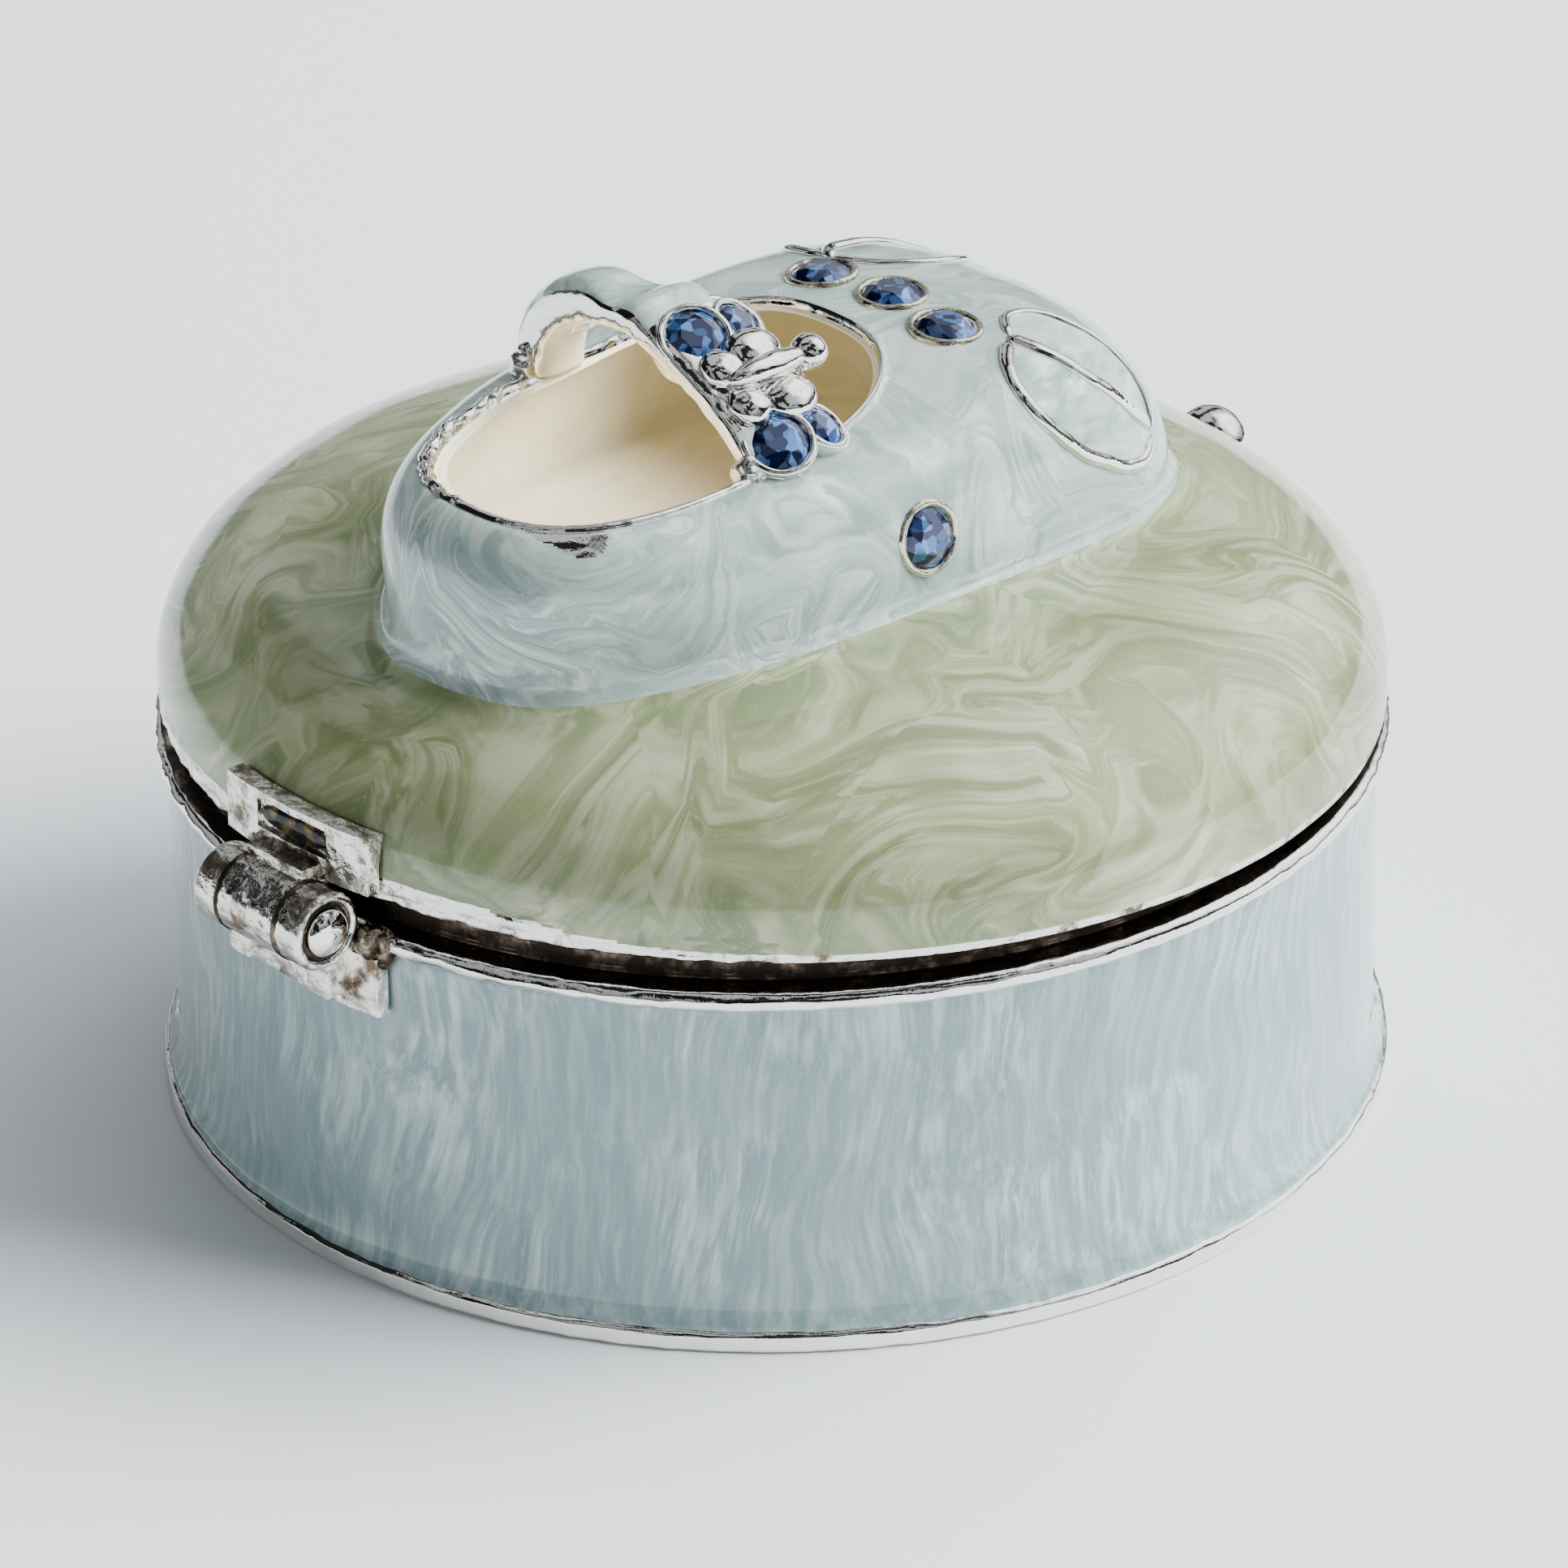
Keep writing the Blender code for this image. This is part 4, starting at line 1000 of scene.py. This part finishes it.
# Hinge: two curved leaves, three knuckles and a pin with domed ends, cast, soldered on and
# silver plated together, so that their edges are soft and their faces a little uneven.
HINGE_AXIS = Vector((0.0, 32.35, 19.85))
BARREL_HALF = 3.6
KNUCKLE_HALF = 2.08
LEAF_BEVEL = 0.10
PIN_RADIUS = 0.8
PIN_SHANK = 3.64
HEAD_RADIUS = 1.2
HEAD_START = 3.75
HEAD_HEIGHT = 0.46


def softened(name, bevel):
    """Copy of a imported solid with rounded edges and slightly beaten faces."""
    bm = bmesh.new()
    bm.from_mesh(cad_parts[name].data)
    bmesh.ops.scale(bm, vec=(1.0 / METRES, 1.0 / METRES, 1.0 / METRES), verts=bm.verts)
    bmesh.ops.remove_doubles(bm, verts=bm.verts, dist=0.002)
    bmesh.ops.dissolve_limit(bm, angle_limit=math.radians(2.0), verts=bm.verts, edges=bm.edges)
    folded = [edge for edge in bm.edges if len(edge.link_faces) == 2]
    sharp = [edge for edge in folded if edge.calc_face_angle() > math.radians(35.0)]
    bmesh.ops.bevel(
        bm, geom=sharp, offset=bevel, offset_type="OFFSET", segments=3, profile=0.5,
        affect="EDGES", clamp_overlap=True, material=-1,
    )
    bmesh.ops.triangulate(bm, faces=bm.faces)
    for _ in range(3):
        long_edges = [edge for edge in bm.edges if edge.calc_length() > 0.5]
        bmesh.ops.subdivide_edges(bm, edges=long_edges, cuts=1)
        bmesh.ops.triangulate(bm, faces=bm.faces)
    bmesh.ops.recalc_face_normals(bm, faces=bm.faces)
    beat(bm, 0.015, 1.6)
    return bm


cast_silver = silver(
    "cast_silver", (0.92, 0.88, 0.80), (0.20, 0.15, 0.10),
    cover=0.13, rough=0.30, pit_size=0.38, pit_depth=0.08,
)
for name, rider in (("hinge_base_leaf", "base"), ("hinge_lid_leaf", "lid")):
    plate = softened(name, LEAF_BEVEL)
    leaf = place_piece("plated_" + name, plate, [cast_silver], rider)
    leaf.data.set_sharp_from_angle(angle=math.radians(50.0))
    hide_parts(name)

pin_head = [(0.0, -5.05)] + arc((0.0, -HEAD_START), HEAD_RADIUS, -86.0, 0.0, 10)
pin_head = [
    (radius, -HEAD_START + (height + HEAD_START) * HEAD_HEIGHT) for radius, height in pin_head
]
pin_head.append((HEAD_RADIUS, -3.66))
pin_profile = pin_head + [(PIN_RADIUS, -PIN_SHANK)]
pin_profile += straight((PIN_RADIUS, -PIN_SHANK), (PIN_RADIUS, PIN_SHANK), 6)
pin_profile += [(radius, -height) for radius, height in reversed(pin_head)]
pin = spun(pin_profile, 40)
beat(pin, 0.04, 0.7, 2.0)
sideways = Matrix.Translation(HINGE_AXIS) @ Matrix.Rotation(math.pi / 2, 4, "Y")
move(pin, sideways)
pin_piece = place_piece("plated_hinge_pin", pin, [bright_silver], "base")
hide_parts("hinge_pin")

# A raised ring round each end of the barrel, dark bands of painted shade in the gaps between its
# parts and in the pin's groove, and old solder where it joins the rim. Profiles are (radius,
# along the pin).
old_solder = silver(
    "old_solder", (0.45, 0.38, 0.28), (0.05, 0.038, 0.025),
    cover=0.2, rough=0.5, pit_size=0.35, pit_depth=0.05,
)
RING = [(1.48, 0.0)] + arc((1.72, 0.0), 0.24, 170.0, 10.0, 10) + [(1.96, 0.0), (1.48, 0.0)]
PIN_GROOVE = [(1.0, -0.05), (1.55, -0.05), (1.55, 0.06), (1.0, 0.06), (1.0, -0.05)]
KNUCKLE_GAP = [(1.2, -0.1), (2.03, -0.1), (2.03, 0.1), (1.2, 0.1), (1.2, -0.1)]
RIM_SOLDER = [  # (across, along, up, radii)
    (4.25, 30.15, 18.7, (0.8, 0.75, 0.85)), (4.95, 29.9, 18.35, (0.55, 0.5, 0.95)),
]
for end, side in ((-1.0, "left"), (1.0, "right")):
    ring = spun(RING, 56)
    beat(ring, 0.04, 0.6, end)
    turned = sideways @ Matrix.Translation((0.0, 0.0, end * (BARREL_HALF - 0.02)))
    if side == "left":
        turned = turned @ Matrix.Rotation(math.pi, 4, "X")
    move(ring, turned)
    bmesh.ops.recalc_face_normals(ring, faces=ring.faces)
    place_piece("barrel_ring_" + side, ring, [worn_silver], "base")
    for name, profile, along, steps in (
        ("pin_groove_", PIN_GROOVE, BARREL_HALF, 48),
        ("knuckle_gap_", KNUCKLE_GAP, KNUCKLE_HALF, 64),
    ):
        # Dark band of painted shade, in the pin's groove and in each knuckle gap.
        painted_shade_band = spun(profile, steps)
        moved = sideways @ Matrix.Translation((0.0, 0.0, end * along))
        move(painted_shade_band, moved)
        place_piece(name + side, painted_shade_band, [tarnish_and_shade_silver], "base")
    for index, (across, along, up, radii) in enumerate(RIM_SOLDER):
        spot = Matrix.Translation((end * across, along, up))
        solder = lump(spot, radii, 0.2, 30.0 + index + end)
        place_piece(f"rim_solder_{side}_{index}", solder, [old_solder], "base")

# The sunk pocket of the lid's leaf holds a dark, glossy bead: painted shade in the recess.
POCKET = (0.0, 31.02, 2.4)
POCKET_SHADE_RADII = (2.4, 0.22, 0.68)
pocket_shade, pocket_shade_tree, pocket_shade_shader, pocket_shade_place = new_material("dark_flux")
shade_patches = spread(pocket_shade_tree, clouds(pocket_shade_tree, pocket_shade_place, 0.8, 3.0).outputs["Fac"], 0.45, 0.7)
# Near black with brownish patches: painted shade.
pocket_shade_colour = blend_colours(pocket_shade_tree, shade_patches, (0.012, 0.012, 0.014), (0.16, 0.11, 0.04))
pocket_shade_looks = {"Base Color": pocket_shade_colour, "Metallic": 0.5, "Roughness": 0.15}
set_inputs(pocket_shade_tree, pocket_shade_shader, pocket_shade_looks)
pocket_shade_bead = lump(lean @ Matrix.Translation(POCKET), POCKET_SHADE_RADII, 0.05, 8.0)
place_piece("leaf_pocket_flux", pocket_shade_bead, [pocket_shade])

# Thumb piece: a small silver bead soldered to the front of the lid's edge. It is the
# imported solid, smoothed.
THUMB_BEVEL = 0.05
thumb = softened("thumb_piece", THUMB_BEVEL)
bmesh.ops.smooth_vert(
    thumb, verts=thumb.verts, factor=0.5, use_axis_x=True, use_axis_y=True, use_axis_z=True,
)
thumb_piece = place_piece("plated_thumb_piece", thumb, [bright_silver])
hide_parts("thumb_piece")

# Studio: a large soft key from the right, weak lamps from above and from the left, a room
# for the silver to mirror, a pale plain floor, and the camera at the photograph's angle
# with a long lens. Lengths are in metres here.
CAMERA_HEADING = math.radians(-133.0)
CAMERA_RISE = 0.4857
CAMERA_DISTANCE = 0.434
CAMERA_ROLL = -0.0124
CAMERA_TARGET = Vector((0.0005263, 0.0, 0.0143731))
LENS = 199.44

camera_data = bpy.data.cameras.new("camera")
camera_data.lens = LENS
camera_data.sensor_width = 36.0
camera_data.clip_start = 0.01
camera_data.clip_end = 10.0
camera = new_object("camera", camera_data)
ahead = Vector((0.0, math.cos(CAMERA_RISE), -math.sin(CAMERA_RISE)))
above = Vector((0.0, math.sin(CAMERA_RISE), math.cos(CAMERA_RISE)))
across = Vector((1.0, 0.0, 0.0))
right = across * math.cos(CAMERA_ROLL) + above * math.sin(CAMERA_ROLL)
upward = above * math.cos(CAMERA_ROLL) - across * math.sin(CAMERA_ROLL)
axes = from_axes(right, upward, -ahead)
heading = Matrix.Rotation(CAMERA_HEADING, 4, "Z")
camera.matrix_world = heading @ Matrix.Translation(CAMERA_TARGET - ahead * CAMERA_DISTANCE) @ axes
bpy.context.scene.camera = camera


def lamp(name, place, size, power):
    """Soft lamp, which nothing mirrors, in the camera's own directions: right, away, up."""
    data = bpy.data.lights.new(name, "AREA")
    data.shape = "RECTANGLE"
    data.size, data.size_y = size
    data.energy = power
    holder = new_object(name, data)
    position = heading.to_3x3() @ Vector(place)
    aim = (-position).to_track_quat("-Z", "Y").to_matrix().to_4x4()
    holder.matrix_world = Matrix.Translation(position) @ aim
    holder.visible_glossy = False


lamp("key", (1.38, 0.02, 1.0), (1.40, 1.10), 125.0)
lamp("top", (0.12, 0.34, 0.50), (0.50, 0.30), 1.5)
lamp("left_fill", (-0.62, -0.20, 0.12), (0.30, 0.14), 1.7)

# Room: a soft-edged bright panel on the key's side, and pale screens with dark gaps, so
# that polished silver shows dark and bright bands.
ROOM_COLOUR = (0.80, 0.84, 0.88, 1.0)
world = bpy.data.worlds.new("studio")
world.use_nodes = True
room = world.node_tree
toward = make_node(room, "TexCoord").outputs["Generated"]
bright_side = heading.to_3x3() @ Vector((0.66, 0.35, 0.66))
facing_light = vector_math(room, "DOT_PRODUCT", {0: toward, 1: bright_side}, "Value")
upness = make_node(room, "SeparateXYZ", {0: toward}).outputs["Z"]
from_side = spread(room, facing_light, -0.7, 0.8, 0.19, 0.50)
from_above = spread(room, upness, 0.05, 0.28, 0.30, 1.0)
screens = spread(room, clouds(room, toward, 0.40, 0.0).outputs["Fac"], 0.46, 0.53, 0.05, 1.5)
softbox = spread(room, facing_light, 0.75, 0.95, 0.0, 2.4)
glow = scaled(room, scaled(room, from_side, from_above), screens)
glow = calculate(room, "ADD", glow, softbox)
room.links.new(glow, room.nodes["Background"].inputs["Strength"])
room.nodes["Background"].inputs["Color"].default_value = ROOM_COLOUR
bpy.context.scene.world = world

FLOOR_HALF = 3.0
FLOOR_COLOUR = (0.68, 0.72, 0.755, 1.0)
floor = bmesh.new()
bmesh.ops.create_grid(floor, x_segments=1, y_segments=1, size=FLOOR_HALF)
floor_mesh = bpy.data.meshes.new("floor")
floor.to_mesh(floor_mesh)
floor.free()
floor_material, floor_tree, floor_shader, _ = new_material("pale_floor")
set_inputs(floor_tree, floor_shader, {"Base Color": FLOOR_COLOUR, "Roughness": 0.6})
floor_mesh.materials.append(floor_material)
floor_piece = new_object("floor", floor_mesh)
